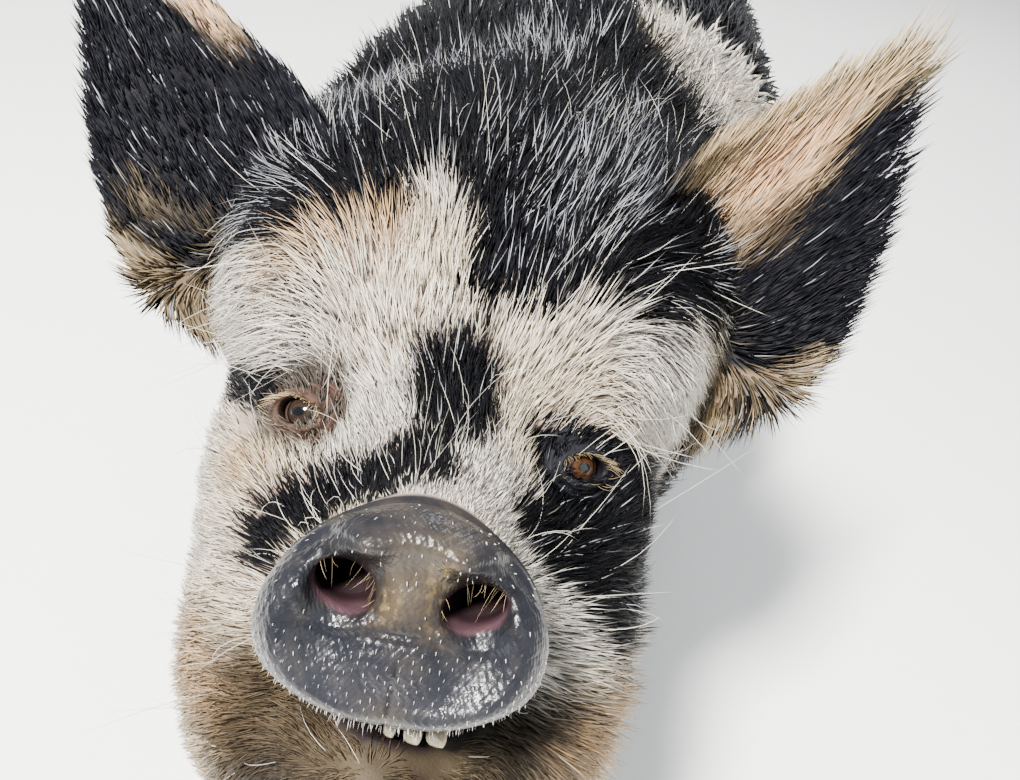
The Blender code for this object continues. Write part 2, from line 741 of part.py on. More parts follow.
def blade_of(rings, tip, frame=None):
    """A closed flat lock through its four-cornered sections, ending in a point."""
    bm = bmesh.new()
    made = [[bm.verts.new(corner_point) for corner_point in ring] for ring in rings]
    end = bm.verts.new(tip)
    bm.faces.new(made[0])
    for low, high in zip(made, made[1:]):
        for n in range(4):
            bm.faces.new((low[n], low[n - 1], high[n - 1], high[n]))
    for n in range(4):
        bm.faces.new((made[-1][n], made[-1][n - 1], end))
    return from_bmesh("lock", bm, frame)


def lie(points):
    """The way the coat lies: away from the snout on the head, back and down on the body."""
    local = in_head_frame(points)
    away = local - np.array(COAT_STARTS)
    away = away / np.linalg.norm(away, axis=1)[:, None] @ np.array(HEAD_TURN).T
    body = ease(local[:, 1], *LIE_TURNS)[:, None]
    way = away * (1 - body) + np.array(BODY_LIE) * body
    normals = slopes(coated, points)
    normals /= np.linalg.norm(normals, axis=1)[:, None]
    way -= (way * normals).sum(1)[:, None] * normals
    return way / np.maximum(np.linalg.norm(way, axis=1), 1e-6)[:, None], normals


def lock_sizes(points):
    """The length, width and thickness of a lock that is rooted at each point."""
    local = in_head_frame(points)
    share = ease(local[:, 1], *LOCK_GROWS)[:, None]
    return np.array(FACE_LOCK) * (1 - share) + np.array(BODY_LOCK) * share


def bare(points):
    """Where no lock is rooted: on the snout, round the eyes and mouth, and on the legs."""
    local = in_head_frame(points)
    near_eye = np.zeros(len(points), bool)
    for side in SIDES.values():
        centre = np.array((EYE[0] * side, EYE[1], EYE[2]))
        near_eye |= np.linalg.norm(local - centre, axis=1) < BARE_ROUND_EYE
    snout = local[:, 1] < BARE_BEFORE
    mouth = np.abs(local[:, 2] - MOUTH_AT[2]) < BARE_MOUTH
    mouth &= local[:, 1] < MOUTH_CORNER_Y + BARE_MOUTH_BACK
    legs = np.zeros(len(points), bool)
    for name in SIDES:
        for end in ("front", "hind"):
            inside = np.ones(len(points), bool)
            for point, normal, _ in leg_planes(end, name):
                normal = np.array(Vector(normal).normalized())
                inside &= (points - np.array(point)) @ normal < LEG_MARGIN
            legs |= inside
    return near_eye | snout | mouth | legs


def roots_on(body, rng):
    """Seeded spots on the body, evenly apart for the size of the lock that each carries."""
    mesh = body.data
    mesh.calc_loop_triangles()
    triangles = np.array([[mesh.vertices[v].co for v in t.vertices] for t in mesh.loop_triangles])
    first, second = triangles[:, 1] - triangles[:, 0], triangles[:, 2] - triangles[:, 0]
    areas = np.linalg.norm(np.cross(first, second), axis=1)
    picked = rng.choice(len(areas), ROOT_TRIES, p=areas / areas.sum())
    u, v = rng.random((2, ROOT_TRIES, 1))
    flip = u + v > 1
    u, v = np.where(flip, 1 - u, u), np.where(flip, 1 - v, v)
    spots = onto(coated, triangles[picked, 0] + u * first[picked] + v * second[picked])
    spots = spots[~bare(spots)]
    reach = LOCK_SPACING * np.sqrt(lock_sizes(spots)[:, 0] * lock_sizes(spots)[:, 1])
    kept = []
    for number, spot in enumerate(spots):
        near = [np.linalg.norm(spot - spots[k]) < 0.5 * (reach[number] + reach[k]) for k in kept]
        if not any(near):
            kept.append(number)
    return spots[kept]


def lock_rings(roots, rng):
    """The sections and tips of all the body's locks, which follow the surface and rise to the tip."""
    sizes = lock_sizes(roots) * rng.uniform(*LOCK_VARIES, (len(roots), 3))
    turn = rng.uniform(-LOCK_TURN, LOCK_TURN, len(roots))[:, None]
    stations, points = [], roots
    for number in range(LOCK_STEPS + 1):
        way, normals = lie(points)
        way = way * np.cos(turn) + np.cross(normals, way) * np.sin(turn)
        stations.append((points, way, normals))
        points = onto(coated, points + way * sizes[:, :1] / LOCK_STEPS, 1)
    spare = (1 - CORE_SHARE) * coat_depth(roots)[:, None]
    rings = []
    for number, width, rise in LOCK_SECTIONS:
        points, way, normals = stations[number]
        height = np.where(rise < 0, rise * LOCK_ROOT_DEPTH, rise * spare)
        half = 0.5 * sizes[:, 1:2] * width * np.cross(way, normals)
        thick = 0.5 * sizes[:, 2:] * min(1, LOCK_THINS_WITH_WIDTH * width) * normals
        left, right = onto(coated, points + half, 2), onto(coated, points - half, 2)
        lift = height * normals
        section = (left + lift, points + lift + thick, right + lift, points + lift - thick)
        rings.append(np.stack(section, 1))
    points, _, normals = stations[-1]
    return np.stack(rings, 1), points + spare * normals


def dress(body, others):
    """Fuses the coat's locks to the body, leaving out those that would touch another piece."""
    rng = np.random.default_rng(SEED)
    rings, tips = lock_rings(roots_on(body, rng), rng)
    near = []
    for other in others:
        cover = grown(other, LOCK_CLEARANCE)
        near.append(tree_of(cover))
        remove(cover)
    locks = bpy.data.collections.new("locks")
    bpy.context.scene.collection.children.link(locks)
    for sections, tip in zip(rings, tips):
        if bare(np.array([tip]))[0] or bare(sections[-1]).any():
            continue
        blade = blade_of(sections, tip)
        tree = tree_of(blade)
        if crosses_itself(blade, tree) or any(tree.overlap(other) for other in near):
            remove(blade)
            continue
        move_to(blade, locks)
    return fuse(body, locks, "MANIFOLD")


def ear_axes(name):
    """The ear's way from base to tip, across it to its outer edge, and the way its cup faces."""
    along = Vector(EAR_TIP[name]) - Vector(EAR_BASE[name])
    facing = Vector(EAR_FACES[name])
    facing = (facing - along * facing.dot(along) / along.length_squared).normalized()
    across = along.cross(facing).normalized()
    return along, across if across.x * SIDES[name] > 0 else -across, facing


def ear_point(name, t, s):
    """The point on the middle of the ear's thickness at t from base to tip and s from edge to edge."""
    along, across, facing = ear_axes(name)
    places = [EAR_ROOT] + [n / (len(EAR_OUTER) - 2) for n in range(len(EAR_OUTER) - 1)]
    outer, inner = np.interp(t, places, EAR_OUTER), np.interp(t, places, EAR_INNER)
    curl = math.radians(np.interp(t, places, EAR_CURL))
    out = (outer if s > 0 else inner) * math.sin(curl * s) / math.sin(curl)
    forward = 0.5 * (outer + inner) * (1 - math.cos(curl * s)) / math.sin(curl)
    return Vector(EAR_BASE[name]) + along * t + across * out + facing * forward


def ear(name, body):
    """A thin cupped leaf that tapers to its tip, with its root set against the head."""
    bm = bmesh.new()
    rows = []
    for row in range(EAR_ROWS):
        t = EAR_ROOT + (1 - EAR_ROOT) * row / (EAR_ROWS - 1)
        spots = [2 * column / (EAR_COLUMNS - 1) - 1 for column in range(EAR_COLUMNS)]
        rows.append([bm.verts.new(ear_point(name, t, s)) for s in spots])
    for low, high in zip(rows, rows[1:]):
        for column in range(EAR_COLUMNS - 1):
            bm.faces.new((low[column], low[column + 1], high[column + 1], high[column]))
    bmesh.ops.triangulate(bm, faces=bm.faces)
    made = from_bmesh(f"ear_{name}", bm, HEAD_FRAME)
    shell = made.modifiers.new("thick", "SOLIDIFY")
    shell.thickness = EAR_THICK
    shell.offset = 0
    return trimmed(applied(made), body)


def ear_fringe(made, name, body):
    """Locks that stand out past the rim of the ear and its tip, as thick as the rim."""
    rng = np.random.default_rng(SEED + SIDES[name])
    _, _, facing = ear_axes(name)
    locks = bpy.data.collections.new("fringe")
    bpy.context.scene.collection.children.link(locks)
    head = tree_of(body)
    for t, edge, length, stand in FRINGE:
        root = ear_point(name, t, edge * FRINGE_INSET)
        out = (ear_point(name, t, edge) - ear_point(name, t, RIM_STEP_INWARD * edge)).normalized()
        rim = ear_point(name, t + RIM_STEP_ALONG, edge * FRINGE_INSET) - root
        heading = (out * (stand + rng.uniform(*FRINGE_STAND_VARIES)) + rim.normalized()).normalized()
        normal = heading.cross(facing).cross(heading).normalized()
        side = heading.cross(normal)
        reach = length * rng.uniform(*FRINGE_VARIES)
        rings = []
        for share, width in FRINGE_SECTIONS:
            middle = root + heading * reach * share - normal * FRINGE_DROOP * reach * max(share, 0) ** 2
            half = 0.5 * FRINGE_WIDTH * width
            rings.append(diamond(middle, side * half, normal * FRINGE_THICK * width / 2))
        blade = blade_of(rings, root + heading * reach - normal * FRINGE_DROOP * reach, HEAD_FRAME)
        if head.overlap(tree_of(blade)):
            remove(blade)
            continue
        move_to(blade, locks)
    return fuse(made, locks)


def tube(name, path, radii, sides=2):
    """A round tapering length with closed ends."""
    curve = bpy.data.curves.new(name, "CURVE")
    curve.dimensions = "3D"
    curve.bevel_depth = 1.0
    curve.bevel_resolution = sides
    curve.use_fill_caps = True
    line = curve.splines.new("POLY")
    line.points.add(len(path) - 1)
    for point, place, radius in zip(line.points, path, radii):
        point.co = (*place, 1)
        point.radius = radius
    guide = bpy.data.objects.new(name, curve)
    bpy.context.scene.collection.objects.link(guide)
    graph = bpy.context.evaluated_depsgraph_get()
    mesh = bpy.data.meshes.new_from_object(guide.evaluated_get(graph))
    bpy.data.objects.remove(guide)
    bpy.data.curves.remove(curve)
    bm = bmesh.new()
    bm.from_mesh(mesh)
    bpy.data.meshes.remove(mesh)
    bmesh.ops.remove_doubles(bm, verts=bm.verts, dist=0.00001)
    return from_bmesh(name, bm)


def smooth_path(points, parts=3):
    """Points along a smooth curve through the given ones."""
    path = [Vector(p) for p in points]
    ends = [2 * path[0] - path[1]] + path + [2 * path[-1] - path[-2]]
    made = []
    for before, start, end, after in zip(ends, ends[1:], ends[2:], ends[3:]):
        for number in range(parts):
            t = number / parts
            bend = (2 * before - 5 * start + 4 * end - after) * t * t
            twist = (3 * start - before - 3 * end + after) * t**3
            made.append(0.5 * (2 * start + (end - before) * t + bend + twist))
    return made + [path[-1]]


def smooth_radii(radii, parts=3):
    places = np.arange((len(radii) - 1) * parts + 1) / parts
    return np.interp(places, range(len(radii)), radii)


def tail(body):
    """A hanging tail that bends a little to each side, with a tuft of locks at its end."""
    rng = np.random.default_rng(SEED)
    path, radii = smooth_path(TAIL_PATH, 2), smooth_radii(TAIL_RADII, 2)
    made = trimmed(tube("tail", path, radii, 1), body)
    locks = bpy.data.collections.new("tuft")
    bpy.context.scene.collection.children.link(locks)
    for number in range(TUFT_LOCKS):
        place = TUFT_FROM + number * (len(path) - 1 - TUFT_FROM) // TUFT_LOCKS
        round_tail = number * TUFT_TURN
        outward = Vector((math.cos(round_tail), math.sin(round_tail), 0))
        down = (path[place + 1] - path[place]).normalized()
        outward = (outward - down * outward.dot(down)).normalized()
        length = TUFT_LENGTH * rng.uniform(*TUFT_VARIES)
        rings = []
        for share, width, out in TUFT_SECTIONS:
            middle = path[place] + down * length * share + outward * radii[place] * out
            half = outward.cross(down) * 0.5 * TUFT_WIDTH * width
            rings.append(diamond(middle, half, outward * TUFT_THICK / 2))
        tip = path[place] + down * length + outward * radii[place] * TUFT_TIP_OUT
        move_to(blade_of(rings, tip), locks)
    return fuse(made, locks)


def tassel(name, body):
    """The pear-shaped tassel that hangs under the jaw."""
    top = HEAD_FRAME @ Vector((TASSEL_AT[0] * SIDES[name], TASSEL_AT[1], TASSEL_AT[2]))
    while coated(np.array([top]))[0] < 0:
        top.z -= 0.001
    path = [top + Vector((0, 0, height)) for height in TASSEL_HEIGHTS]
    return trimmed(tube(f"tassel_{name}", path, TASSEL_RADII, 3), body)


def foot_at(end, name):
    return Vector(leg_joints(end, name)[-1][0])


def hoof(name, foot, toe):
    """One horn toe: flat below, narrower at the crown and leaning forward to its point."""
    bm = bmesh.new()
    bmesh.ops.create_cone(bm, cap_ends=True, segments=14, radius1=1, radius2=1, depth=HOOF_TOP)
    for vertex in bm.verts:
        low = vertex.co.z < 0
        half_x, half_y = HOOF_BOTTOM if low else HOOF_CROWN
        pinch = 1 - 0.25 * max(-vertex.co.y, 0)
        x, y = vertex.co.x * half_x * pinch, vertex.co.y * half_y
        vertex.co = (x, y + (HOOF_LEAN if low else 0), HOOF_TOP * (0 if low else 1))
    made = from_bmesh(name, bm, Matrix.Translation((foot.x + toe * HOOF_SPREAD, foot.y, 0)))
    return made


def dewclaw(name, foot, toe, body):
    across, tip, length = DEWCLAW
    bm = bmesh.new()
    bmesh.ops.create_cone(bm, cap_ends=True, segments=8, radius1=tip, radius2=across, depth=length)
    x, y, z = DEWCLAW_AT
    place = Matrix.Translation((foot.x + toe * x, foot.y + y, z))
    return trimmed(from_bmesh(name, bm, place @ Matrix.Rotation(DEWCLAW_LEAN, 4, "X")), body)


def feet(body):
    made = []
    for name in SIDES:
        for end in ("front", "hind"):
            foot = foot_at(end, name)
            for toe_name, toe in (("outer", SIDES[name]), ("inner", -SIDES[name])):
                made.append(hoof(f"hoof_{end}_{name}_{toe_name}", foot, toe))
                made.append(dewclaw(f"dewclaw_{end}_{name}_{toe_name}", foot, toe, body))
    return made


def finish_of(name):
    """The material for a piece of this name."""
    if name == "snout":
        return "snout_skin"
    if name.startswith(("hoof", "dewclaw")):
        return "hoof_horn"
    if name.startswith("eye"):
        return "eye_gloss"
    if name.startswith("tassel"):
        return "pink_skin"
    return "white_coat" if name in ("head", "lower_jaw") else "black_coat"


def material(name):
    known = bpy.data.materials.get(name)
    if known:
        return known
    colour, roughness, metallic = FINISHES[name]
    made = bpy.data.materials.new(name)
    made.use_nodes = True
    made.diffuse_color = colour
    shader = made.node_tree.nodes["Principled BSDF"]
    shader.inputs["Base Color"].default_value = colour
    shader.inputs["Roughness"].default_value = roughness
    shader.inputs["Metallic"].default_value = metallic
    return made


def finish(pieces):
    """Gives each piece its place, material and shading, and puts them all in one collection."""
    pig = bpy.data.collections.new("kunekune_pig")
    bpy.context.scene.collection.children.link(pig)
    for piece in pieces:
        triangulated(piece)
        piece.data.transform(Matrix.Translation(OVER_ORIGIN))
        piece.data.materials.clear()
        piece.data.materials.append(material(finish_of(piece.name)))
        piece.data.shade_smooth()
        piece.data.set_sharp_from_angle(angle=math.radians(50))
        bpy.context.scene.collection.objects.unlink(piece)
        pig.objects.link(piece)


def main():
    for thing in list(bpy.data.objects):
        bpy.data.objects.remove(thing)
    body = open_mouth(whole_flesh())
    ears = {name: ear(name, body) for name in SIDES}
    others = [*ears.values(), tail(body), *feet(body)]
    others += [tassel(name, body) for name in SIDES]
    dress(body, others)
    for name in SIDES:
        ear_fringe(ears[name], name, body)
    pieces = {piece.name: piece for piece in parted(body)}
    open_nostrils(pieces["snout"])
    set_teeth(pieces["lower_jaw"])
    others += [set_eye(pieces["head"], name) for name in SIDES]
    finish([*pieces.values(), *others])


main()
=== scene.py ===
"""The kunekune pig's looks: one skin with its lids, nostrils and mouth, a coat of fine tufts that
follow the lie of the hair, eyes, teeth, hooves and tail, on a pale floor under soft light."""

import math

import bmesh
import bpy
import numpy as np
from mathutils import Matrix, Vector
from mathutils.bvhtree import BVHTree
from mathutils.kdtree import KDTree


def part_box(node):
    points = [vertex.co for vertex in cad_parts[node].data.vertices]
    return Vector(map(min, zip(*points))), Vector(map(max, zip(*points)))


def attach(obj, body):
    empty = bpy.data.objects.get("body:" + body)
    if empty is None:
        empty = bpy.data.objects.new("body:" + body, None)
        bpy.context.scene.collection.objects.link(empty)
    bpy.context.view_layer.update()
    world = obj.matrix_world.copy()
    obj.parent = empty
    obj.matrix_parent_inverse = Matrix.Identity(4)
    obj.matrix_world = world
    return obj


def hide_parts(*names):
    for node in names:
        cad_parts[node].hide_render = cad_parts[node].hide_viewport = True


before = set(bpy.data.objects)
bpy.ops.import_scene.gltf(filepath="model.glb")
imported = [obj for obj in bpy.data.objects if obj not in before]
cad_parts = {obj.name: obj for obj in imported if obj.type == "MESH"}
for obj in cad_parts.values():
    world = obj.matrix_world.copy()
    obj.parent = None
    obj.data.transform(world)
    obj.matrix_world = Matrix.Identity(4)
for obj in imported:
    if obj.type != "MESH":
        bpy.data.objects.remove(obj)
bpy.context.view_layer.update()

SIDES = {"left": 1, "right": -1}
PLACE = np.array((0.0105, -0.0110, 0.0))

# The head has its own frame: origin midway between the eyes, +x to the pig's left, +y back, +z up.
HEAD_AT = np.array((0.0, -0.475, 0.510))
HEAD_TURN = np.array(
    Matrix.Rotation(math.radians(8.5), 3, "Z")
    @ Matrix.Rotation(math.radians(-42), 3, "X")
    @ Matrix.Rotation(math.radians(3), 3, "Y")
)

# Masses of the torso and neck: centre and half-sizes.
TORSO_MASSES = (
    ((0, -0.110, 0.405), (0.172, 0.180, 0.180)),
    ((0, 0.130, 0.385), (0.207, 0.330, 0.192)),
    ((0, 0.150, 0.305), (0.196, 0.270, 0.130)),
    ((0, 0.385, 0.392), (0.178, 0.170, 0.175)),
)
TORSO_BLEND = 0.09
NECK_MASSES = (
    ((0, -0.225, 0.475), (0.146, 0.160, 0.125)),
    ((0, -0.300, 0.400), (0.122, 0.130, 0.120)),
)
NECK_BLEND = 0.07
HEAD_TO_NECK_BLEND = 0.045

# Legs, for the left side: the mass at the top, then the joints down to the pastern with each radius.
FRONT_SHOULDER = ((0.112, -0.125, 0.345), (0.075, 0.105, 0.135))
FRONT_JOINTS = (
    ((0.120, -0.105, 0.275), 0.058),
    ((0.118, -0.120, 0.170), 0.036),
    ((0.116, -0.118, 0.085), 0.027),
    ((0.116, -0.130, 0.030), 0.031),
)
HIND_THIGH = ((0.110, 0.375, 0.320), (0.085, 0.135, 0.150))
HIND_JOINTS = (
    ((0.122, 0.375, 0.255), 0.066),
    ((0.120, 0.462, 0.185), 0.037),
    ((0.118, 0.445, 0.090), 0.027),
    ((0.118, 0.430, 0.030), 0.031),
)
LEG_BLEND = 0.045
STEP = {"front_left": -0.022, "front_right": 0.018, "hind_left": 0.024, "hind_right": -0.022}

# Head masses in the head frame; those with a side are mirrored.
CRANIUM = ((0, 0.095, 0.075), (0.106, 0.088, 0.108))
FOREHEAD = ((0, 0.050, 0.055), (0.070, 0.052, 0.072))
BROW = ((0.060, 0.030, 0.056), (0.046, 0.034, 0.042))
ZYGOMA = ((0.064, 0.050, -0.012), (0.034, 0.048, 0.044))
MUZZLE = ((0, -0.058, -0.047), 0.0375, (0, 0.010, -0.045), 0.062)
BRIDGE = ((0, -0.070, -0.028), 0.018, (0, 0.012, 0.008), 0.034)
CHEEK = ((0.052, 0.045, -0.060), (0.045, 0.072, 0.078))
JOWL = ((0.042, 0.030, -0.112), (0.044, 0.064, 0.056))
CHIN = ((0, -0.036, -0.118), 0.020, (0, 0.030, -0.125), 0.050)
CHIN_TIP = ((0, -0.038, -0.118), (0.034, 0.032, 0.022))
TEMPLE = ((0.086, 0.090, 0.078), (0.034, 0.040, 0.074))
HEAD_BLEND = 0.034

# The bare disc at the end of the snout with its hump, nostrils and rim, and the mouth under it.
DISC_AT = np.array((0, -0.087, -0.0445))
DISC_UP = math.radians(8)
DISC_HALF = (0.0452, 0.0345)
DISC_ROUND = 0.009
DISC_FLAT = 0.004
DISC_NARROWS = 3.6
DISC_HUMP, DISC_HUMP_WIDE = 0.0012, 0.015
NOSTRIL_AT = np.array((0.0202, -0.096, -0.0365))
NOSTRIL_HALF = (0.0100, 0.022, 0.0066)
NOSTRIL_LEAN = math.radians(24)
MOUTH_AT = np.array((0.009, -0.066, -0.0890))
MOUTH_HALF = (0.031, 0.030, 0.0062)
MOUTH_SLOPE = math.radians(-7)

EYE = np.array((0.0555, 0.004, 0.004))
EYE_RADIUS = 0.0125
EYE_LOOKS = np.array((0.42, -0.90, 0.10))
LID_RADIUS = 0.0166
LID_HALF = (0.0098, 0.0056)
LID_BOW = 6.0
WRINKLE, WRINKLE_APART = 0.0005, 0.0031
FULL_TURN = 6.28
# Rows of lashes: the angles round the opening where each starts and ends, and its count.
LASH_ROWS = ((15, 165, 34), (25, 155, 26), (200, 340, 10))

EAR_BASE = {"left": (0.112, 0.094, 0.096), "right": (-0.110, 0.094, 0.092)}
EAR_TIP = {"left": (0.200, 0.066, 0.243), "right": (-0.218, 0.060, 0.218)}
EAR_FACES = {"left": (0.16, -0.98, -0.10), "right": (-0.16, -0.98, -0.10)}
EAR_OUTER = (0.034, 0.058, 0.063, 0.058, 0.050, 0.036, 0.020, 0.004)
EAR_INNER = (0.044, 0.058, 0.056, 0.050, 0.038, 0.027, 0.017, 0.004)
EAR_CURL = (80, 75, 60, 48, 38, 30, 24, 20)
EAR_ROOT = -0.26
EAR_THICK = 0.0055

HOOF_BOTTOM = (0.0140, 0.0275)
HOOF_CROWN = (0.0115, 0.0215)
HOOF_LEAN = -0.008
HOOF_TOP = 0.034
CLAW_LEAN = math.radians(40)
CLAW_LENGTH = 0.024
TAIL_PATH = (
    (0, 0.500, 0.478), (0, 0.560, 0.468), (0.006, 0.592, 0.430), (0.012, 0.598, 0.380),
    (0.004, 0.604, 0.330), (-0.006, 0.612, 0.290), (-0.008, 0.618, 0.250), (-0.006, 0.622, 0.215),
)
TAIL_RADII = (0.022, 0.018, 0.014, 0.011, 0.009, 0.008, 0.007, 0.003)
TASSEL_HEIGHTS = (0.0, -0.014, -0.028, -0.042, -0.054, -0.060)
TASSEL_RADII = (0.0055, 0.0055, 0.0070, 0.0080, 0.0072, 0.0030)

# Colours.
BLACK = np.array((0.0040, 0.0042, 0.0060))
WHITE = np.array((0.70, 0.66, 0.58))
CREAM = np.array((0.62, 0.47, 0.27))
TAN = np.array((0.42, 0.25, 0.11))
GREY_HAIR = np.array((0.34, 0.35, 0.38))
LID_SKIN = np.array((0.032, 0.018, 0.013))
PINK = np.array((0.42, 0.22, 0.18))
SLATE = np.array((0.0060, 0.0065, 0.0090))
SLATE_LOW = np.array((0.0150, 0.0155, 0.0190))
DISC_BROWN = np.array((0.032, 0.026, 0.020))
DIRT = np.array((0.17, 0.115, 0.045))
# Painted shade for the depths of the nostrils, the mouth's slot and the eye sockets.
DEPTH_SHADE = np.array((0.008, 0.004, 0.005))
FLESH_PINK = np.array((0.034, 0.018, 0.022))
CHIN_SHADE = np.array((0.022, 0.015, 0.009))
STUB = np.array((0.48, 0.46, 0.43))
IRIS = {"left": np.array((0.048, 0.019, 0.006)), "right": np.array((0.016, 0.010, 0.007))}
EYE_WHITE = np.array((0.050, 0.030, 0.025))
TOOTH_STAIN = np.array((0.045, 0.030, 0.016))
IVORY = np.array((0.46, 0.41, 0.29))
HORN = np.array((0.075, 0.060, 0.048))
HORN_PALE = np.array((0.20, 0.16, 0.11))
HORN_WORN = np.array((0.16, 0.12, 0.08))
CLAW = np.array((0.07, 0.055, 0.045))
CLAW_PALE = np.array((0.18, 0.14, 0.10))

# The lower edge of the black crown, and black patches of the face and tan ones with each one's radius
# and the line it runs along, all in the head frame.
CROWN_EDGE = (
    (-0.113, 0.074), (-0.087, 0.073), (-0.065, 0.077), (-0.046, 0.086), (-0.030, 0.093),
    (-0.022, 0.102), (-0.005, 0.080), (-0.003, 0.060), (0.014, 0.053), (0.033, 0.054),
    (0.055, 0.062), (0.077, 0.076), (0.111, 0.098),
)
FACE_BLACKS = (
    (0.0170, (0.001, -0.014, 0.031), (0.005, -0.034, 0.016)),
    (0.0080, (-0.004, -0.044, 0.006), (-0.012, -0.058, -0.004)),
    (
        0.0140, (-0.002, -0.062, -0.006), (-0.019, -0.063, -0.010), (-0.043, -0.039, -0.028),
        (-0.053, -0.034, -0.043),
    ),
    (0.0125, (-0.080, 0.004, 0.012), (-0.100, 0.040, 0.012)),
    (0.0150, (0.044, -0.012, 0.006), (0.064, -0.008, 0.006), (0.100, 0.040, 0.004)),
    (0.0250, (0.060, -0.018, -0.012), (0.078, -0.010, -0.046)),
    (0.0280, (0.082, 0.006, -0.012), (0.096, 0.030, -0.040)),
    (0.0120, (0.036, -0.041, -0.018), (0.060, -0.030, -0.034)),
)
FACE_TANS = (
    (0.020, (-0.043, 0.000, 0.084), (-0.066, -0.002, 0.071)),
    (0.009, (-0.074, -0.013, -0.024), (-0.080, -0.010, -0.022)),
    (0.022, (-0.077, -0.019, -0.094), (-0.057, -0.035, -0.108)),
    (0.022, (0.088, -0.003, -0.092), (0.068, -0.028, -0.100)),
)
# White patches of the body: centre and half-sizes.
BODY_WHITES = (
    ((0.155, -0.150, 0.500), (0.155, 0.150, 0.200)),
    ((0.000, -0.350, 0.290), (0.110, 0.110, 0.070)),
    ((-0.210, 0.230, 0.300), (0.080, 0.120, 0.110)),
    ((0.170, 0.430, 0.470), (0.085, 0.090, 0.080)),
)
SOCKS = {"front_left": 0.17, "front_right": 0.10, "hind_left": 0.13, "hind_right": 0.0}

# Grid cells of the skin: on the face, on the rest of the head, on the body and for the unwrap.
FACE_CELL, HEAD_CELL, BODY_CELL, UNWRAP_CELL = 0.0016, 0.0055, 0.009, 0.022
FLESH_NODES = ["torso", "neck", "head", "lower_jaw"]
FLESH_NODES += [f"leg_{end}_{name}" for name in SIDES for end in ("front", "hind")]

# The coat: how many tufts, how many triangles a piece may have, and a tuft's patch in the bake map.
HEAD_TUFTS, BODY_TUFTS, EAR_TUFTS = 81000, 24000, 11500
WHISKERS, STUBS, TAIL_TUFTS, TASSEL_TUFTS = 620, 3600, 4200, 900
PIECE_TRIANGLES = 190000
PATCH = 0.003
ROOT_DEPTH = 0.001
ROOT_SHADE, TIP_SHADE = 0.38, 1.15

# Teeth: each one's place across and up, and half its width; where they stand and lean, and their size.
TEETH = ((-0.0042, 0.0, 0.0036), (0.0042, 0.0004, 0.0040), (-0.0125, 0.0010, 0.0024))
TOOTH_AT = np.array((0.0145, -0.0582, -0.0940))
TOOTH_LEAN = math.radians(109)
TOOTH_ROOT, TOOTH_LENGTH, TOOTH_DEEP = -0.015, 0.0202, 0.0031
TOOTH_RINGS, TOOTH_SIDES = 22, 40

# The camera in the head frame, with its turn, and its lens from the photo's width in pixels.
CAMERA_AT = (0.0011, -0.3380, 0.0312)
CAMERA_YAW, CAMERA_ROLL = math.radians(3.84), math.radians(11.5)
SENSOR, FOCAL_PIXELS, PHOTO_WIDTH = 36, 790, 1020
FLOOR_REACH = 8


def smooth_min(a, b, blend):
    overlap = np.maximum(blend - np.abs(a - b), 0.0) / blend
    return np.minimum(a, b) - overlap * overlap * blend / 4


def smooth_max(a, b, blend):
    return -smooth_min(-a, -b, blend)


def ease(value, low, high):
    """0 below low, 1 above high and smooth between."""
    t = np.clip((value - low) / (high - low), 0, 1)
    return t * t * (3 - 2 * t)


def bell(value, width):
    return np.exp(-((value / width) ** 2))


def mix(one, other, share):
    """From one colour to the other, by a share for each point."""
    share = np.asarray(share)[:, None]
    return one * (1 - share) + other * share


def unit(vectors):
    return vectors / np.maximum(np.linalg.norm(vectors, axis=-1), 1e-9)[..., None]


def ellipsoid(points, centre, radii):
    """About the distance to an ellipsoid, below 0 inside it."""
    q = (points - np.array(centre)) / np.array(radii)
    reach = np.linalg.norm(q, axis=1)
    slope = np.linalg.norm(q / np.array(radii), axis=1)
    return reach * (reach - 1) / np.maximum(slope, 1e-9)


def tapered(points, start, start_radius, end, end_radius):
    """The distance to a rounded limb that tapers from start to end."""
    start, end = np.array(start, float), np.array(end, float)
    along = end - start
    share = np.clip((points - start) @ along / (along @ along), 0, 1)
    middle = start + share[:, None] * along
    radius = start_radius + share * (end_radius - start_radius)
    return np.linalg.norm(points - middle, axis=1) - radius


def stroke(points, radius, *line):
    """The distance to a line of points less a radius."""
    runs = [tapered(points, start, radius, end, radius) for start, end in zip(line, line[1:])]
    return np.min(runs, axis=0)


def mirrored(mass, side):
    (x, y, z), radii = mass
    return (x * side, y, z), radii


def leg_joints(end, name):
    joints = FRONT_JOINTS if end == "front" else HIND_JOINTS
    step = STEP[f"{end}_{name}"]
    moved = []
    for number, ((x, y, z), radius) in enumerate(joints):
        moved.append(((x * SIDES[name], y + step * number / (len(joints) - 1), z), radius))
    return moved


def leg_field(points, end, name):
    mass = FRONT_SHOULDER if end == "front" else HIND_THIGH
    shape = ellipsoid(points, *mirrored(mass, SIDES[name]))
    joints = leg_joints(end, name)
    for (start, start_radius), (finish, finish_radius) in zip(joints, joints[1:]):
        limb = tapered(points, start, start_radius, finish, finish_radius)
        shape = smooth_min(shape, limb, 0.5 * LEG_BLEND)
    return shape


def disc_axes(local):
    """Across, up and back from the middle of the nose disc, with its taper and hump evened out."""
    q = local - DISC_AT
    depth = q[:, 1] * math.cos(DISC_UP) + q[:, 2] * math.sin(DISC_UP)
    height = q[:, 2] * math.cos(DISC_UP) - q[:, 1] * math.sin(DISC_UP)
    height = height - DISC_HUMP * bell(q[:, 0], DISC_HUMP_WIDE) * ease(height, 0.0, 0.03)
    narrowing = 1 - DISC_NARROWS * np.clip(height, -0.02, 0.05)
    return q[:, 0] / narrowing, height, depth


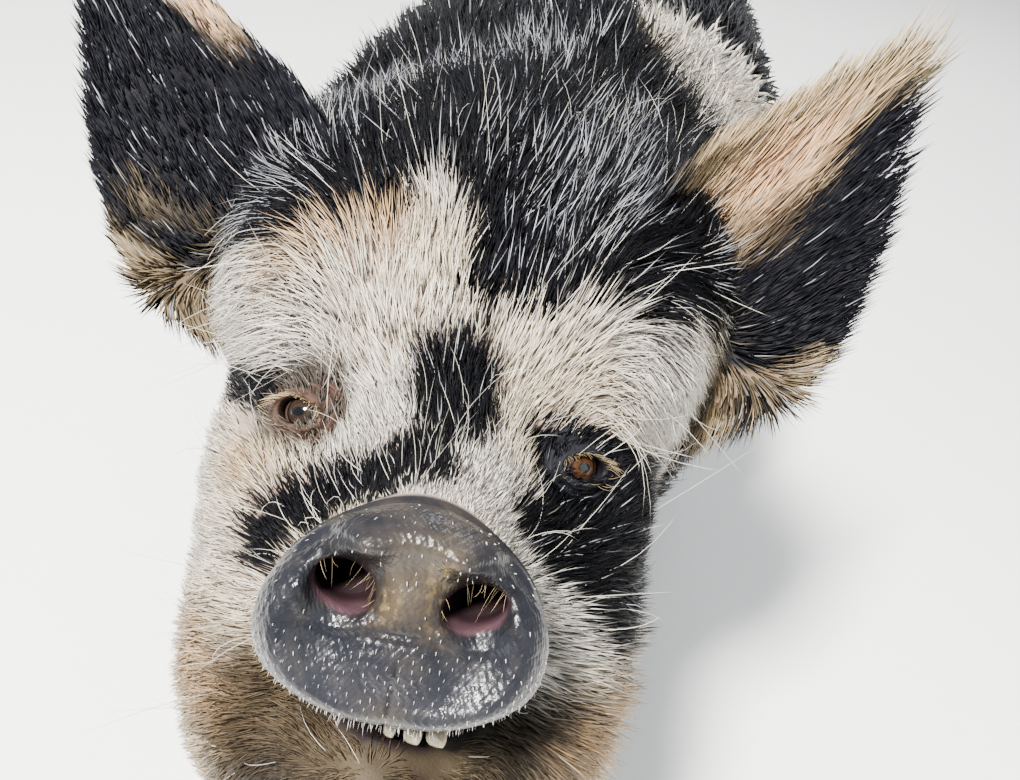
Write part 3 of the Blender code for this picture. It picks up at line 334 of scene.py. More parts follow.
def disc_field(local):
    """The flat nose disc: an oval plate with a rounded rim, narrower towards its top."""
    across, height, depth = disc_axes(local)
    oval = np.stack([across, height, np.zeros(len(across))], 1)
    half = (DISC_HALF[0] - DISC_ROUND, DISC_HALF[1] - DISC_ROUND, 1.0)
    rim = ellipsoid(oval, (0, 0, 0), half)
    face = np.abs(depth) - DISC_FLAT
    outside = np.hypot(np.maximum(rim, 0), np.maximum(face, 0))
    return outside + np.minimum(np.maximum(rim, face), 0) - DISC_ROUND


def on_disc(local):
    """1 on the bare disc and 0 off it, with its edge just behind the rim."""
    across, height, depth = disc_axes(local)
    reach = np.hypot(across / DISC_HALF[0], height / DISC_HALF[1])
    return (1 - ease(depth, -0.001, 0.003)) * (reach < 1.12)


def eye_region(shape, local, side):
    """A shallow hollow in front of the eye with the swelling of the lids in it."""
    flip = np.array((side, 1, 1))
    hollow = ellipsoid(local, (EYE + 0.021 * EYE_LOOKS) * flip, (0.021, 0.016, 0.013))
    shape = smooth_max(shape, -hollow, 0.014)
    return smooth_min(shape, np.linalg.norm(local - EYE * flip, axis=1) - LID_RADIUS, 0.007)


def head_field(local):
    """Skull, cheeks, jowls, chin, snout and lids, in the head frame."""
    shape = smooth_min(ellipsoid(local, *CRANIUM), ellipsoid(local, *FOREHEAD), HEAD_BLEND)
    shape = smooth_min(shape, tapered(local, *MUZZLE), HEAD_BLEND)
    shape = smooth_min(shape, tapered(local, *BRIDGE), 0.6 * HEAD_BLEND)
    shape = smooth_min(shape, tapered(local, *CHIN), 0.4 * HEAD_BLEND)
    shape = smooth_min(shape, ellipsoid(local, *CHIN_TIP), 0.4 * HEAD_BLEND)
    for side in SIDES.values():
        for mass in (CHEEK, JOWL, TEMPLE, ZYGOMA):
            shape = smooth_min(shape, ellipsoid(local, *mirrored(mass, side)), HEAD_BLEND)
        shape = smooth_min(shape, ellipsoid(local, *mirrored(BROW, side)), 0.7 * HEAD_BLEND)
        shape = eye_region(shape, local, side)
    return smooth_min(shape, disc_field(local), 0.008)


def to_head(points):
    return (points - HEAD_AT) @ HEAD_TURN


def from_head(local):
    return local @ HEAD_TURN.T + HEAD_AT


def where(points, test, field):
    """The field only where the test holds, and far away elsewhere."""
    values = np.full(len(points), 1.0)
    if test.any():
        values[test] = field(points[test])
    return values


def flesh(points):
    """The skin of the whole pig but for ears, tail, tassels and hooves: below 0 inside."""
    shape = ellipsoid(points, *TORSO_MASSES[0])
    for mass in TORSO_MASSES[1:]:
        shape = smooth_min(shape, ellipsoid(points, *mass), TORSO_BLEND)
    for mass in NECK_MASSES:
        shape = smooth_min(shape, ellipsoid(points, *mass), NECK_BLEND)
    low = points[:, 2] < 0.56
    for name, side in SIDES.items():
        for end in ("front", "hind"):
            near = low & (points[:, 0] * side > -0.06)
            near &= points[:, 1] < 0.10 if end == "front" else points[:, 1] > 0.15
            leg = where(points, near, lambda p: leg_field(p, end, name))
            shape = smooth_min(shape, leg, LEG_BLEND)
    local = to_head(points)
    head = where(local, np.linalg.norm(local - (0, 0.03, 0), axis=1) < 0.30, head_field)
    return smooth_min(shape, head, HEAD_TO_NECK_BLEND)


def mouth_gap(local):
    """The slot between the lips."""
    q = local - MOUTH_AT
    across, up = math.cos(MOUTH_SLOPE), math.sin(MOUTH_SLOPE)
    turned = np.stack([q[:, 0], q[:, 1] * across + q[:, 2] * up, q[:, 2] * across - q[:, 1] * up], 1)
    return ellipsoid(turned, (0, 0, 0), MOUTH_HALF)


def nostril_axes(local, side):
    """Across, back and up from the middle of a nostril, leaning up towards its outer end."""
    q = local - NOSTRIL_AT * (side, 1, 1)
    x = q[:, 0] * side
    lean, slope = math.cos(NOSTRIL_LEAN), math.sin(NOSTRIL_LEAN)
    return x * lean + q[:, 2] * slope, q[:, 1], q[:, 2] * lean - x * slope


def nostril(local, side):
    """A hole that runs back and outward behind a fold of flesh."""
    across, back, up = nostril_axes(local, side)
    swing = 0.25 * np.clip(back, 0, 0.03)
    return ellipsoid(np.stack([across - swing, back, up], 1), (0, 0, 0), NOSTRIL_HALF)


def disc_relief(local):
    """How far the disc's skin stands out: its rim, the folds over the nostrils and the lower bulge."""
    across, height, depth = disc_axes(local)
    u, v = across / DISC_HALF[0], height / DISC_HALF[1]
    reach = np.hypot(u, v)
    relief = 0.0042 * bell(reach - 0.80, 0.14) * (1 - 0.5 * bell(u, 0.25))
    relief -= 0.0022 * bell(reach - 0.50, 0.20)
    relief += 0.0058 * bell(np.hypot(u / 0.72, (v + 0.45) / 0.30), 1.0)
    relief += 0.0026 * bell(np.hypot(u / 0.24, (v - 0.45) / 0.45), 1.0)
    relief -= 0.0008 * bell(across, 0.0010) * ease(-v, 0.15, 0.5)
    relief -= 0.0005 * bell(v + 0.02, 0.03) * bell(u, 0.16)
    relief -= 0.0004 * bell(v + 0.10, 0.025) * bell(u, 0.20)
    for side in SIDES.values():
        out, _, up = nostril_axes(local, side)
        relief -= 0.0075 * bell(np.hypot(out - 0.006, 1.25 * (up - 0.003)), 0.0120)
        relief += 0.0030 * bell(np.hypot(out - 0.001, 1.6 * (up - 0.0155)), 0.009)
        relief += 0.0012 * bell(np.hypot(out, up) - 0.0125, 0.0024) * ease(-up, 0.0, 0.006)
        crease = 0.0010 * bell(np.hypot(out, 1.15 * up) - 0.0170, 0.0014)
        relief -= crease * ease(out, -0.002, 0.006) * ease(up, -0.004, 0.004)
    relief += 0.00016 * waves(local, 2300, 12, 2)
    return relief * (depth < 0) * ease(-depth, 0.0, 0.006)


def eye_frame(side):
    """The way an eye looks, across its opening and up it, in the head frame."""
    looks = EYE_LOOKS * (side, 1, 1)
    looks = looks / np.linalg.norm(looks)
    across = np.cross(looks, (0, 0, 1))
    across /= np.linalg.norm(across)
    return looks, across, np.cross(across, looks)


def lids(shape, local):
    """The opening between the lids, the socket behind it and the wrinkles round it."""
    for side in SIDES.values():
        q = local - EYE * (side, 1, 1)
        reach = np.linalg.norm(q, axis=1)
        near = reach < 0.034
        if not near.any():
            continue
        looks, across, up = eye_frame(side)
        ahead, x, z = q[near] @ looks, q[near] @ across, q[near] @ up
        spread = np.hypot(x / 1.25, z)
        folds = np.cos(spread / WRINKLE_APART * FULL_TURN + 1.2 * waves(local[near], 260, 21, 2))
        fade = ease(spread, 0.0075, 0.0105) * (1 - ease(spread, 0.017, 0.026)) * (ahead > 0)
        almond = np.hypot(x / LID_HALF[0], (z + LID_BOW * x * x) / LID_HALF[1])
        opening = (almond - 1) * LID_HALF[1]
        opening = np.maximum(opening, -ahead)
        rim = 0.0010 * bell(opening - 0.0018, 0.0012) * (ahead > 0)
        edge = shape[near] - WRINKLE * folds * fade - rim
        edge = smooth_max(edge, -opening, 0.0012)
        shape[near] = np.maximum(edge, -(reach[near] - EYE_RADIUS - 0.0003))
    return shape


def skin(points):
    """The flesh with its nostrils, the gap of its mouth, its lids and the relief of its snout."""
    shape = flesh(points)
    local = to_head(points)
    front = (local[:, 1] < 0.04) & (np.abs(shape) < 0.05)
    if front.any():
        near = local[front]
        opened = shape[front] - disc_relief(near)
        for side in SIDES.values():
            opened = smooth_max(opened, -nostril(near, side), 0.003)
        gap = mouth_gap(near)
        opened = opened - 0.0012 * bell(gap - 0.003, 0.0025) * (near[:, 1] > -0.075)
        shape[front] = lids(smooth_max(opened, -gap, 0.003), near)
    return shape


def slopes(field, points, step=0.0005):
    parts = []
    for axis in np.eye(3) * step:
        parts.append((field(points + axis) - field(points - axis)) / (2 * step))
    return np.stack(parts, 1)


def onto(field, points, rounds=3, step=0.0005):
    for _ in range(rounds):
        slope = slopes(field, points, step)
        size = np.maximum((slope**2).sum(1), 0.05)
        points = points - (field(points) / size)[:, None] * slope
    return points


def lines(*runs):
    """Grid lines from a start through runs of (end, spacing)."""
    made = [runs[0]]
    for end, spacing in runs[1:]:
        count = max(1, round((end - made[-1]) / spacing))
        made += list(np.linspace(made[-1], end, count + 1)[1:])
    return np.array(made)


def surface_of(field, xs, ys, zs, rounds=2):
    """The surface where the field is 0: a vertex in each grid cell that it crosses, and quads."""
    grid = np.stack(np.meshgrid(xs, ys, zs, indexing="ij"), -1)
    values = np.concatenate([field(slab.reshape(-1, 3)) for slab in grid]).reshape(grid.shape[:3])
    shape = tuple(n - 1 for n in values.shape)
    total, hits = np.zeros((*shape, 3)), np.zeros(shape)
    for axis in range(3):
        a = np.moveaxis(values, axis, 0)
        g = np.moveaxis(grid, axis, 0)
        low, high = a[:-1], a[1:]
        crossed = (low < 0) != (high < 0)
        share = np.where(crossed, low / np.where(crossed, low - high, 1), 0)
        spots = g[:-1] + share[..., None] * (g[1:] - g[:-1])
        for i in (0, 1):
            for j in (0, 1):
                cut = [slice(None)] * 3
                cut[1] = slice(i, crossed.shape[1] - 1 + i)
                cut[2] = slice(j, crossed.shape[2] - 1 + j)
                mask = np.moveaxis(crossed[tuple(cut)], 0, axis)
                place = np.moveaxis(spots[tuple(cut)], 0, axis)
                total += np.where(mask[..., None], place, 0)
                hits += mask
    used = hits > 0
    number = np.full(used.shape, -1)
    number[used] = np.arange(used.sum())
    faces = []
    for axis in range(3):
        first, second = (axis + 1) % 3, (axis + 2) % 3
        low = [slice(1, -1)] * 3
        low[axis] = slice(0, -1)
        high = list(low)
        high[axis] = slice(1, None)
        a, b = values[tuple(low)], values[tuple(high)]
        crossed = np.argwhere((a < 0) != (b < 0))
        leaving = (a < 0)[tuple(crossed.T)]
        crossed[:, first] += 1
        crossed[:, second] += 1
        around = []
        for back_first, back_second in ((1, 1), (0, 1), (0, 0), (1, 0)):
            cell = crossed.copy()
            cell[:, first] -= back_first
            cell[:, second] -= back_second
            around.append(number[tuple(cell.T)])
        quads = np.stack(around, 1)
        quads[~leaving] = quads[~leaving][:, ::-1]
        faces.append(quads)
    points = total[used] / hits[used][:, None]
    return onto(field, points, rounds), np.concatenate(faces)


def mesh_of(name, points, faces):
    """An object from points in the pig's own frame and lists of faces of equal size."""
    mesh = bpy.data.meshes.new(name)
    mesh.vertices.add(len(points))
    mesh.vertices.foreach_set("co", (np.asarray(points) + PLACE).astype(np.float32).ravel())
    corners = np.concatenate([np.asarray(f, np.int32).ravel() for f in faces])
    sizes = np.concatenate([np.full(len(f), np.asarray(f).shape[1], np.int32) for f in faces])
    mesh.loops.add(len(corners))
    mesh.loops.foreach_set("vertex_index", corners)
    mesh.polygons.add(len(sizes))
    mesh.polygons.foreach_set("loop_start", np.concatenate([[0], np.cumsum(sizes)[:-1]]).astype(np.int32))
    mesh.update(calc_edges=True)
    mesh.shade_smooth()
    made = bpy.data.objects.new(name, mesh)
    bpy.context.scene.collection.objects.link(made)
    return made


def points_of(thing):
    """A mesh's corners in the pig's own frame."""
    places = np.zeros(len(thing.data.vertices) * 3, np.float32)
    thing.data.vertices.foreach_get("co", places)
    return places.reshape(-1, 3).astype(float) - PLACE


def middles_of(thing):
    """The middles of a mesh's faces in the pig's own frame."""
    middles = np.zeros(len(thing.data.polygons) * 3, np.float32)
    thing.data.polygons.foreach_get("center", middles)
    return middles.reshape(-1, 3) - PLACE


def box_of(node):
    """The low and high corners of a node's box in the pig's own frame."""
    low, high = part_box(node)
    return np.array(low) - PLACE, np.array(high) - PLACE


def blunt(wave, power):
    """A sine or cosine made squarer, for outlines between an oval and a box."""
    return np.sign(wave) * np.abs(wave) ** power


def loft(name, rings):
    """A closed surface through rings of points, with a point in the middle of each end."""
    rings = np.array(rings)
    count, sides, _ = rings.shape
    points = np.concatenate([rings.reshape(-1, 3), rings[:1].mean(1), rings[-1:].mean(1)])
    here, after = np.arange(sides), (np.arange(sides) + 1) % sides
    band = np.stack([here, after, after + sides, here + sides], 1)
    quads = [band + k * sides for k in range(count - 1)]
    first, last = np.full(sides, count * sides), np.full(sides, count * sides + 1)
    top = (count - 1) * sides
    ends = [np.stack([first, after, here], 1), np.stack([last, top + here, top + after], 1)]
    made = mesh_of(name, points, [np.concatenate(quads), np.concatenate(ends)])
    bm = bmesh.new()
    bm.from_mesh(made.data)
    bmesh.ops.recalc_face_normals(bm, faces=bm.faces)
    bm.to_mesh(made.data)
    bm.free()
    return made


def tube_rings(path, radii, sides):
    """Rings of points round a path."""
    path = np.array(path, float)
    along = unit(np.gradient(path, axis=0))
    side = unit(np.cross(along, (0.31, 0.12, 0.94)))
    up = np.cross(side, along)
    angles = np.linspace(0, 2 * np.pi, sides, endpoint=False)
    ring = np.cos(angles)[None, :, None] * side[:, None] + np.sin(angles)[None, :, None] * up[:, None]
    return path[:, None] + np.asarray(radii)[:, None, None] * ring


def smooth_path(points, parts):
    """Points along a smooth curve through the given ones."""
    path = np.array(points, float)
    ends = np.concatenate([[2 * path[0] - path[1]], path, [2 * path[-1] - path[-2]]])
    made = []
    for before, start, end, after in zip(ends, ends[1:], ends[2:], ends[3:]):
        for t in np.arange(parts) / parts:
            bend = (2 * before - 5 * start + 4 * end - after) * t * t
            twist = (3 * start - before - 3 * end + after) * t**3
            made.append(0.5 * (2 * start + (end - before) * t + bend + twist))
    return np.array(made + [path[-1]])


def paint(thing, colours):
    attribute = thing.data.color_attributes.new("Coat", "FLOAT_COLOR", "POINT")
    rgba = np.concatenate([colours, np.ones((len(colours), 1))], 1)
    attribute.data.foreach_set("color", rgba.astype(np.float32).ravel())


# Markings.


def waves(points, scale, seed, octaves=3):
    """Smooth noise about -1 to 1, from sums of turned sine waves."""
    rng = np.random.default_rng(seed)
    total = np.zeros(len(points))
    weight = 0
    for octave in range(octaves):
        for _ in range(4):
            turn = unit(rng.normal(size=3)) * scale * 1.9**octave
            total += np.sin(points @ turn + rng.uniform(0, FULL_TURN)) * 0.6**octave
        weight += 4 * 0.45 * 0.6**octave
    return total / weight


def dark_share(points):
    """1 where the coat is black and 0 where it is white."""
    local = to_head(points)
    fine = 0.0030 * waves(points, 230, 3) + 0.0015 * waves(points, 900, 4, 2)
    crown = np.interp(local[:, 0], *zip(*CROWN_EDGE))
    near = 0.8 * (crown - local[:, 2]) + 0.005 * waves(points, 110, 2)
    for radius, *line in FACE_BLACKS:
        near = smooth_min(near, stroke(local, radius, *line), 0.006)
    face = 1 - ease(near + fine, -0.002, 0.002)
    wide = 0.022 * waves(points, 26, 5)
    white = np.min([ellipsoid(points, *mass) for mass in BODY_WHITES], axis=0)
    for name, side in SIDES.items():
        for end in ("front", "hind"):
            foot = (points[:, 0] * side > 0) & ((points[:, 1] < 0.12) == (end == "front"))
            sock = points[:, 2] - SOCKS[f"{end}_{name}"]
            white = np.where(foot, np.minimum(white, sock), white)
    body = ease(white + wide + 2 * fine, -0.004, 0.004)
    return mix(face[:, None], body[:, None], ease(local[:, 1] + 4 * fine, 0.105, 0.125))[:, 0]


def coat_colour(points):
    """The colour of the hair at each point."""
    local = to_head(points)
    cream = np.clip(0.22 + 0.45 * waves(points, 60, 8) + 0.7 * ease(-local[:, 2], 0.055, 0.12), 0, 1)
    cream *= 1 - 0.5 * ease(local[:, 1], 0.10, 0.2)
    colour = mix(WHITE, CREAM, cream)
    for radius, *line in FACE_TANS:
        near = stroke(local, radius, *line) + 0.004 * waves(points, 150, 9)
        colour = mix(colour, TAN, 0.8 * (1 - ease(near, -0.8 * radius, 0.006)))
    # Painted shade of the deep socket under the brow: the hair round the right eye is darkened towards half
    # the lid skin's colour.
    lid = np.linalg.norm(local - EYE * (-1, 1, 1), axis=1)
    colour = mix(colour, LID_SKIN * 0.5, 0.92 * (1 - ease(lid, 0.019, 0.032)))
    under = ease(-local[:, 2], 0.068, 0.088) * (1 - ease(local[:, 1], -0.025, 0.035))
    under *= 1 - ease(np.abs(local[:, 0]), 0.048, 0.078)
    colour = mix(colour, CHIN_SHADE, np.clip(under * (0.94 + 0.06 * waves(points, 220, 11)), 0, 1))
    return mix(colour, BLACK, dark_share(points))


def skin_colour(points):
    """The skin under the hair, and bare on the lids, snout, nostrils and lips."""
    local = to_head(points)
    under = coat_colour(points)
    colour = mix(0.42 * under, PINK * 0.40, 0.5 * ease(under[:, 0], 0.15, 0.5))
    for side in SIDES.values():
        lid = np.linalg.norm(local - EYE * (side, 1, 1), axis=1)
        bare = (LID_SKIN if side < 0 else BLACK * 1.2) * (1 + 0.5 * waves(points, 900, 14)[:, None])
        colour = mix(colour, bare, 1 - ease(lid, 0.0185, 0.023))
        # Painted shade: the skin close round each eyeball, inside the lids, darkened towards the depth
        # shade.
        colour = mix(colour, DEPTH_SHADE * 0.5, 1 - ease(lid, 0.0130, 0.0155))
    rim = (1 - ease(disc_axes(local)[2], 0.007, 0.013)) * (1 - ease(disc_field(local), 0.0040, 0.0075))
    return mix(colour, disc_colour(points, local), np.maximum(rim, on_disc(local)))


def disc_colour(points, local):
    """Slate skin, paler below, brown and dirty at the top, with painted shade down its middle crease and
    round its nostrils, and dark with painted shade in its openings.
    """
    across, height, depth = disc_axes(local)
    u, v = across / DISC_HALF[0], height / DISC_HALF[1]
    mottle = waves(points, 420, 15)
    pale = (1 - ease(v, -0.75, 0.05)) * ease(v, -1.1, -0.6)
    colour = mix(SLATE, SLATE_LOW, np.clip(pale + 0.25 * mottle, 0, 1))
    brown = bell(np.hypot(u / 0.42, (v - 0.50) / 0.42), 1.0)
    colour = mix(colour, DISC_BROWN, np.clip(1.1 * brown + 0.2 * mottle, 0, 1))
    colour = mix(colour, DISC_BROWN * 1.1, 0.8 * bell(np.hypot(u / 0.14, (v + 0.85) / 0.22), 1.0))
    dirt = bell(np.hypot((u + 0.16) / 0.10, (v - 0.22) / 0.16), 1.0)
    dirt += bell(np.hypot((u - 0.22) / 0.11, (v - 0.42) / 0.30), 1.0)
    specks = ease(waves(points, 1500, 16), 0.10, 0.5)
    colour = mix(colour, DIRT, np.clip(dirt, 0, 1) * (0.25 + 0.6 * specks))
    # Painted shade down the crease in the middle of the disc's lower half.
    colour = mix(colour, SLATE * 0.5, 0.7 * bell(across, 0.0008) * ease(-v, 0.1, 0.4))
    for side in SIDES.values():
        out, _, up = nostril_axes(local, side)
        # Painted shade in the hollows round each nostril.
        spread = np.hypot(out / 0.0150, (up - 0.002) / 0.0120)
        colour = mix(colour, SLATE * 0.45, 0.75 * (1 - ease(spread, 0.75, 1.15)))
        # Inside each nostril: flesh pink, turning to painted shade under the upper fold and deeper in.
        inside = (1 - ease(nostril(local, side), 0.0008, 0.0024)) * ease(depth, -0.0125, -0.009)
        deep = ease(depth, -0.008, 0.002)
        pink_into_shade = mix(FLESH_PINK, DEPTH_SHADE, np.clip(ease(up, -0.004, 0.001) + deep, 0, 1))
        colour = mix(colour, pink_into_shade, inside)
    return colour


def mouth_colour(points, colour):
    """The lips, the inside of the mouth and the far ends of the nostrils, dark with painted shade."""
    local = to_head(points)
    front = local[:, 1] < -0.02
    # Painted shade on the lips and in the mouth's slot.
    lips = (1 - ease(mouth_gap(local), 0.0030, 0.0080)) * front * (on_disc(local) < 0.5)
    colour = mix(colour, DEPTH_SHADE * 0.6, lips)
    # Painted shade at the far ends of the nostrils.
    holes = np.minimum(nostril(local, 1), nostril(local, -1))
    deep = ease(disc_axes(local)[2], -0.006, 0.000)
    return mix(colour, DEPTH_SHADE, (1 - ease(holes, 0.0020, 0.0035)) * front * deep)


# Materials.


def material(name, rough, strength, scale, vary=0.15, spread=0.12, cells=0.0, wet=0.0, specular=0.5):
    """Painted colour that varies a little, with grain in its roughness and bump."""
    made = bpy.data.materials.new(name)
    made.use_nodes = True
    nodes, links = made.node_tree.nodes, made.node_tree.links
    shader = nodes["Principled BSDF"]
    shader.inputs["Specular IOR Level"].default_value = specular
    colour = nodes.new("ShaderNodeVertexColor")
    colour.layer_name = "Coat"
    place = nodes.new("ShaderNodeTexCoord")
    grain = nodes.new("ShaderNodeTexNoise")
    grain.inputs["Scale"].default_value = scale
    grain.inputs["Detail"].default_value = 4
    links.new(place.outputs["Object"], grain.inputs["Vector"])
    shade = nodes.new("ShaderNodeMapRange")
    shade.inputs["To Min"].default_value = 1 - vary
    shade.inputs["To Max"].default_value = 1 + vary
    links.new(grain.outputs["Fac"], shade.inputs["Value"])
    tint = nodes.new("ShaderNodeVectorMath")
    tint.operation = "MULTIPLY"
    links.new(colour.outputs["Color"], tint.inputs[0])
    links.new(shade.outputs["Result"], tint.inputs[1])
    links.new(tint.outputs["Vector"], shader.inputs["Base Color"])
    slow = nodes.new("ShaderNodeTexNoise")
    slow.inputs["Scale"].default_value = scale / 9
    links.new(place.outputs["Object"], slow.inputs["Vector"])
    gloss = nodes.new("ShaderNodeMapRange")
    gloss.inputs["From Min"].default_value = 0.3
    gloss.inputs["From Max"].default_value = 0.7
    gloss.inputs["To Min"].default_value = rough - spread
    gloss.inputs["To Max"].default_value = rough + spread
    links.new(slow.outputs["Fac"], gloss.inputs["Value"])
    links.new(gloss.outputs["Result"], shader.inputs["Roughness"])
    bump = nodes.new("ShaderNodeBump")
    bump.inputs["Strength"].default_value = strength
    bump.inputs["Distance"].default_value = 0.0006
    height = grain.outputs["Fac"]
    if cells:
        pores = nodes.new("ShaderNodeTexVoronoi")
        pores.inputs["Scale"].default_value = cells
        links.new(place.outputs["Object"], pores.inputs["Vector"])
        both = nodes.new("ShaderNodeMath")
        both.operation = "ADD"
        links.new(pores.outputs["Distance"], both.inputs[0])
        links.new(height, both.inputs[1])
        height = both.outputs["Value"]
    links.new(height, bump.inputs["Height"])
    links.new(bump.outputs["Normal"], shader.inputs["Normal"])
    if wet:
        shader.inputs["Coat Weight"].default_value = wet
        shader.inputs["Coat Roughness"].default_value = 0.12
        links.new(bump.outputs["Normal"], shader.inputs["Coat Normal"])
    return made


# The skin.


def fine_places(local, finest):
    """Where the skin is meshed finely: the front of the disc and round each eye, and coarser the lips."""
    disc = (disc_axes(local)[2] < (0.003 if finest else 0.010)) & (local[:, 2] > -0.100)
    eye = eyes_near(local)
    lids_there = (eye > EYE_RADIUS + 0.0006) & (eye < (0.0205 if finest else 0.027))
    lips = (np.abs(local - MOUTH_AT) < (0.040, 0.036, 0.013)).all(1)
    return disc | lids_there | (lips & (not finest))


def refine(thing):
    """Cuts the faces of the fine places in four, and moves all their corners back onto the skin."""
    for finest in (False, True):
        chosen = fine_places(to_head(middles_of(thing)), finest)
        bm = bmesh.new()
        bm.from_mesh(thing.data)
        bm.faces.ensure_lookup_table()
        edges = {edge for index in np.flatnonzero(chosen) for edge in bm.faces[index].edges}
        bmesh.ops.subdivide_edges(bm, edges=list(edges), cuts=1, use_grid_fill=True)
        bm.to_mesh(thing.data)
        bm.free()
    points = points_of(thing)
    near = fine_places(to_head(points), False)
    points[near] = onto(skin, points[near], 3, 0.0002)
    thing.data.vertices.foreach_set("co", (points + PLACE).astype(np.float32).ravel())
    thing.data.update()


def split_off(thing, name, chosen):
    """Moves the chosen faces of a mesh to an object of their own."""
    other = bpy.data.objects.new(name, thing.data.copy())
    bpy.context.scene.collection.objects.link(other)
    for piece, leave in ((thing, chosen), (other, ~chosen)):
        bm = bmesh.new()
        bm.from_mesh(piece.data)
        bm.faces.ensure_lookup_table()
        bmesh.ops.delete(bm, geom=[bm.faces[i] for i in np.flatnonzero(leave)], context="FACES")
        bm.to_mesh(piece.data)
        bm.free()
    return other


def make_skin():
    """The skin of the body and head, and the bare skin of the snout's disc."""
    xs = lines(-0.15, (-0.072, HEAD_CELL), (0.072, FACE_CELL), (0.15, HEAD_CELL))
    ys = lines(-0.113, (0.024, FACE_CELL), (0.175, HEAD_CELL))
    zs = lines(-0.195, (-0.108, HEAD_CELL), (0.028, FACE_CELL), (0.215, HEAD_CELL))
    head, head_faces = surface_of(lambda p: skin(from_head(p)), xs, ys, zs)
    head = from_head(head)
    xs = lines(-0.245, (0.245, BODY_CELL))
    ys = lines(-0.50, (0.58, BODY_CELL))
    zs = lines(0.006, (0.66, BODY_CELL))
    body, body_faces = surface_of(flesh, xs, ys, zs)
    local = to_head(body)
    inside = (np.abs(local[:, 0]) < 0.135) & (local[:, 1] < 0.160)
    inside &= (local[:, 2] > -0.180) & (local[:, 2] < 0.200) & (local[:, 1] > -0.2)
    body_faces = body_faces[~inside[body_faces].all(1)]
    edge = (local[:, 1] < 0.180) & (local[:, 1] > -0.12)
    body[edge] -= 0.0006 * unit(slopes(flesh, body[edge]))
    faces = np.concatenate([head_faces, body_faces + len(head)])
    made = mesh_of("skin", np.concatenate([head, body]), [faces])
    refine(made)
    snout = split_off(made, "snout_disc", on_disc(to_head(middles_of(made))) > 0.5)
    for piece in (made, snout):
        points = points_of(piece)
        paint(piece, mouth_colour(points, skin_colour(points)))
        piece.data.shade_smooth()
        piece.data.normals_split_custom_set_from_vertices(unit(slopes(skin, points, 0.0003)).tolist())
    made.data.materials.append(SKIN)
    slate = material("wet_slate", 0.34, 0.14, 1100.0, cells=1500.0, wet=0.08, specular=0.22)
    snout.data.materials.append(slate)
    return made, snout


# The coat.


def eyes_near(local):
    """How far the nearer eye is."""
    return np.min([np.linalg.norm(local - EYE * (side, 1, 1), axis=1) for side in SIDES.values()], axis=0)


def lie(points):
    """The way the coat lies and the skin's normal at each point."""
    local = to_head(points)
    away = unit(local - np.array((0, -0.130, -0.060)))
    aside, up = np.abs(local[:, 0]), local[:, 2]
    droop = ease(aside, 0.040, 0.085) * ease(up, 0.005, 0.035) * (1 - ease(up, 0.085, 0.125))
    away += droop[:, None] * np.stack([0.5 * np.sign(local[:, 0]), 0 * up, 0 * up - 1.3], 1)
    away = unit(away) @ HEAD_TURN.T
    body = ease(local[:, 1], 0.10, 0.24)[:, None]
    legs = (1 - ease(points[:, 2], 0.20, 0.30))[:, None]
    way = away * (1 - body) + np.array((0, 0.88, -0.46)) * body
    way = way * (1 - legs) + np.array((0, 0.10, -1.0)) * legs
    normals = unit(slopes(flesh, points))
    way = way - (way * normals).sum(1)[:, None] * normals
    return unit(way), normals


def scatter(thing, density, rng):
    """Seeded points on a mesh, with about density(points) of them to the square metre."""
    mesh = thing.data
    mesh.calc_loop_triangles()
    corners = np.zeros(len(mesh.loop_triangles) * 3, np.int32)
    mesh.loop_triangles.foreach_get("vertices", corners)
    triangles = points_of(thing)[corners].reshape(-1, 3, 3)
    first, second = triangles[:, 1] - triangles[:, 0], triangles[:, 2] - triangles[:, 0]
    areas = 0.5 * np.linalg.norm(np.cross(first, second), axis=1)
    amount = areas * density(triangles.mean(1))
    picked = rng.choice(len(areas), int(amount.sum()), p=amount / amount.sum())
    u, v = rng.random((2, len(picked), 1))
    flip = u + v > 1
    u, v = np.where(flip, 1 - u, u), np.where(flip, 1 - v, v)
    return triangles[picked, 0] + u * first[picked] + v * second[picked]


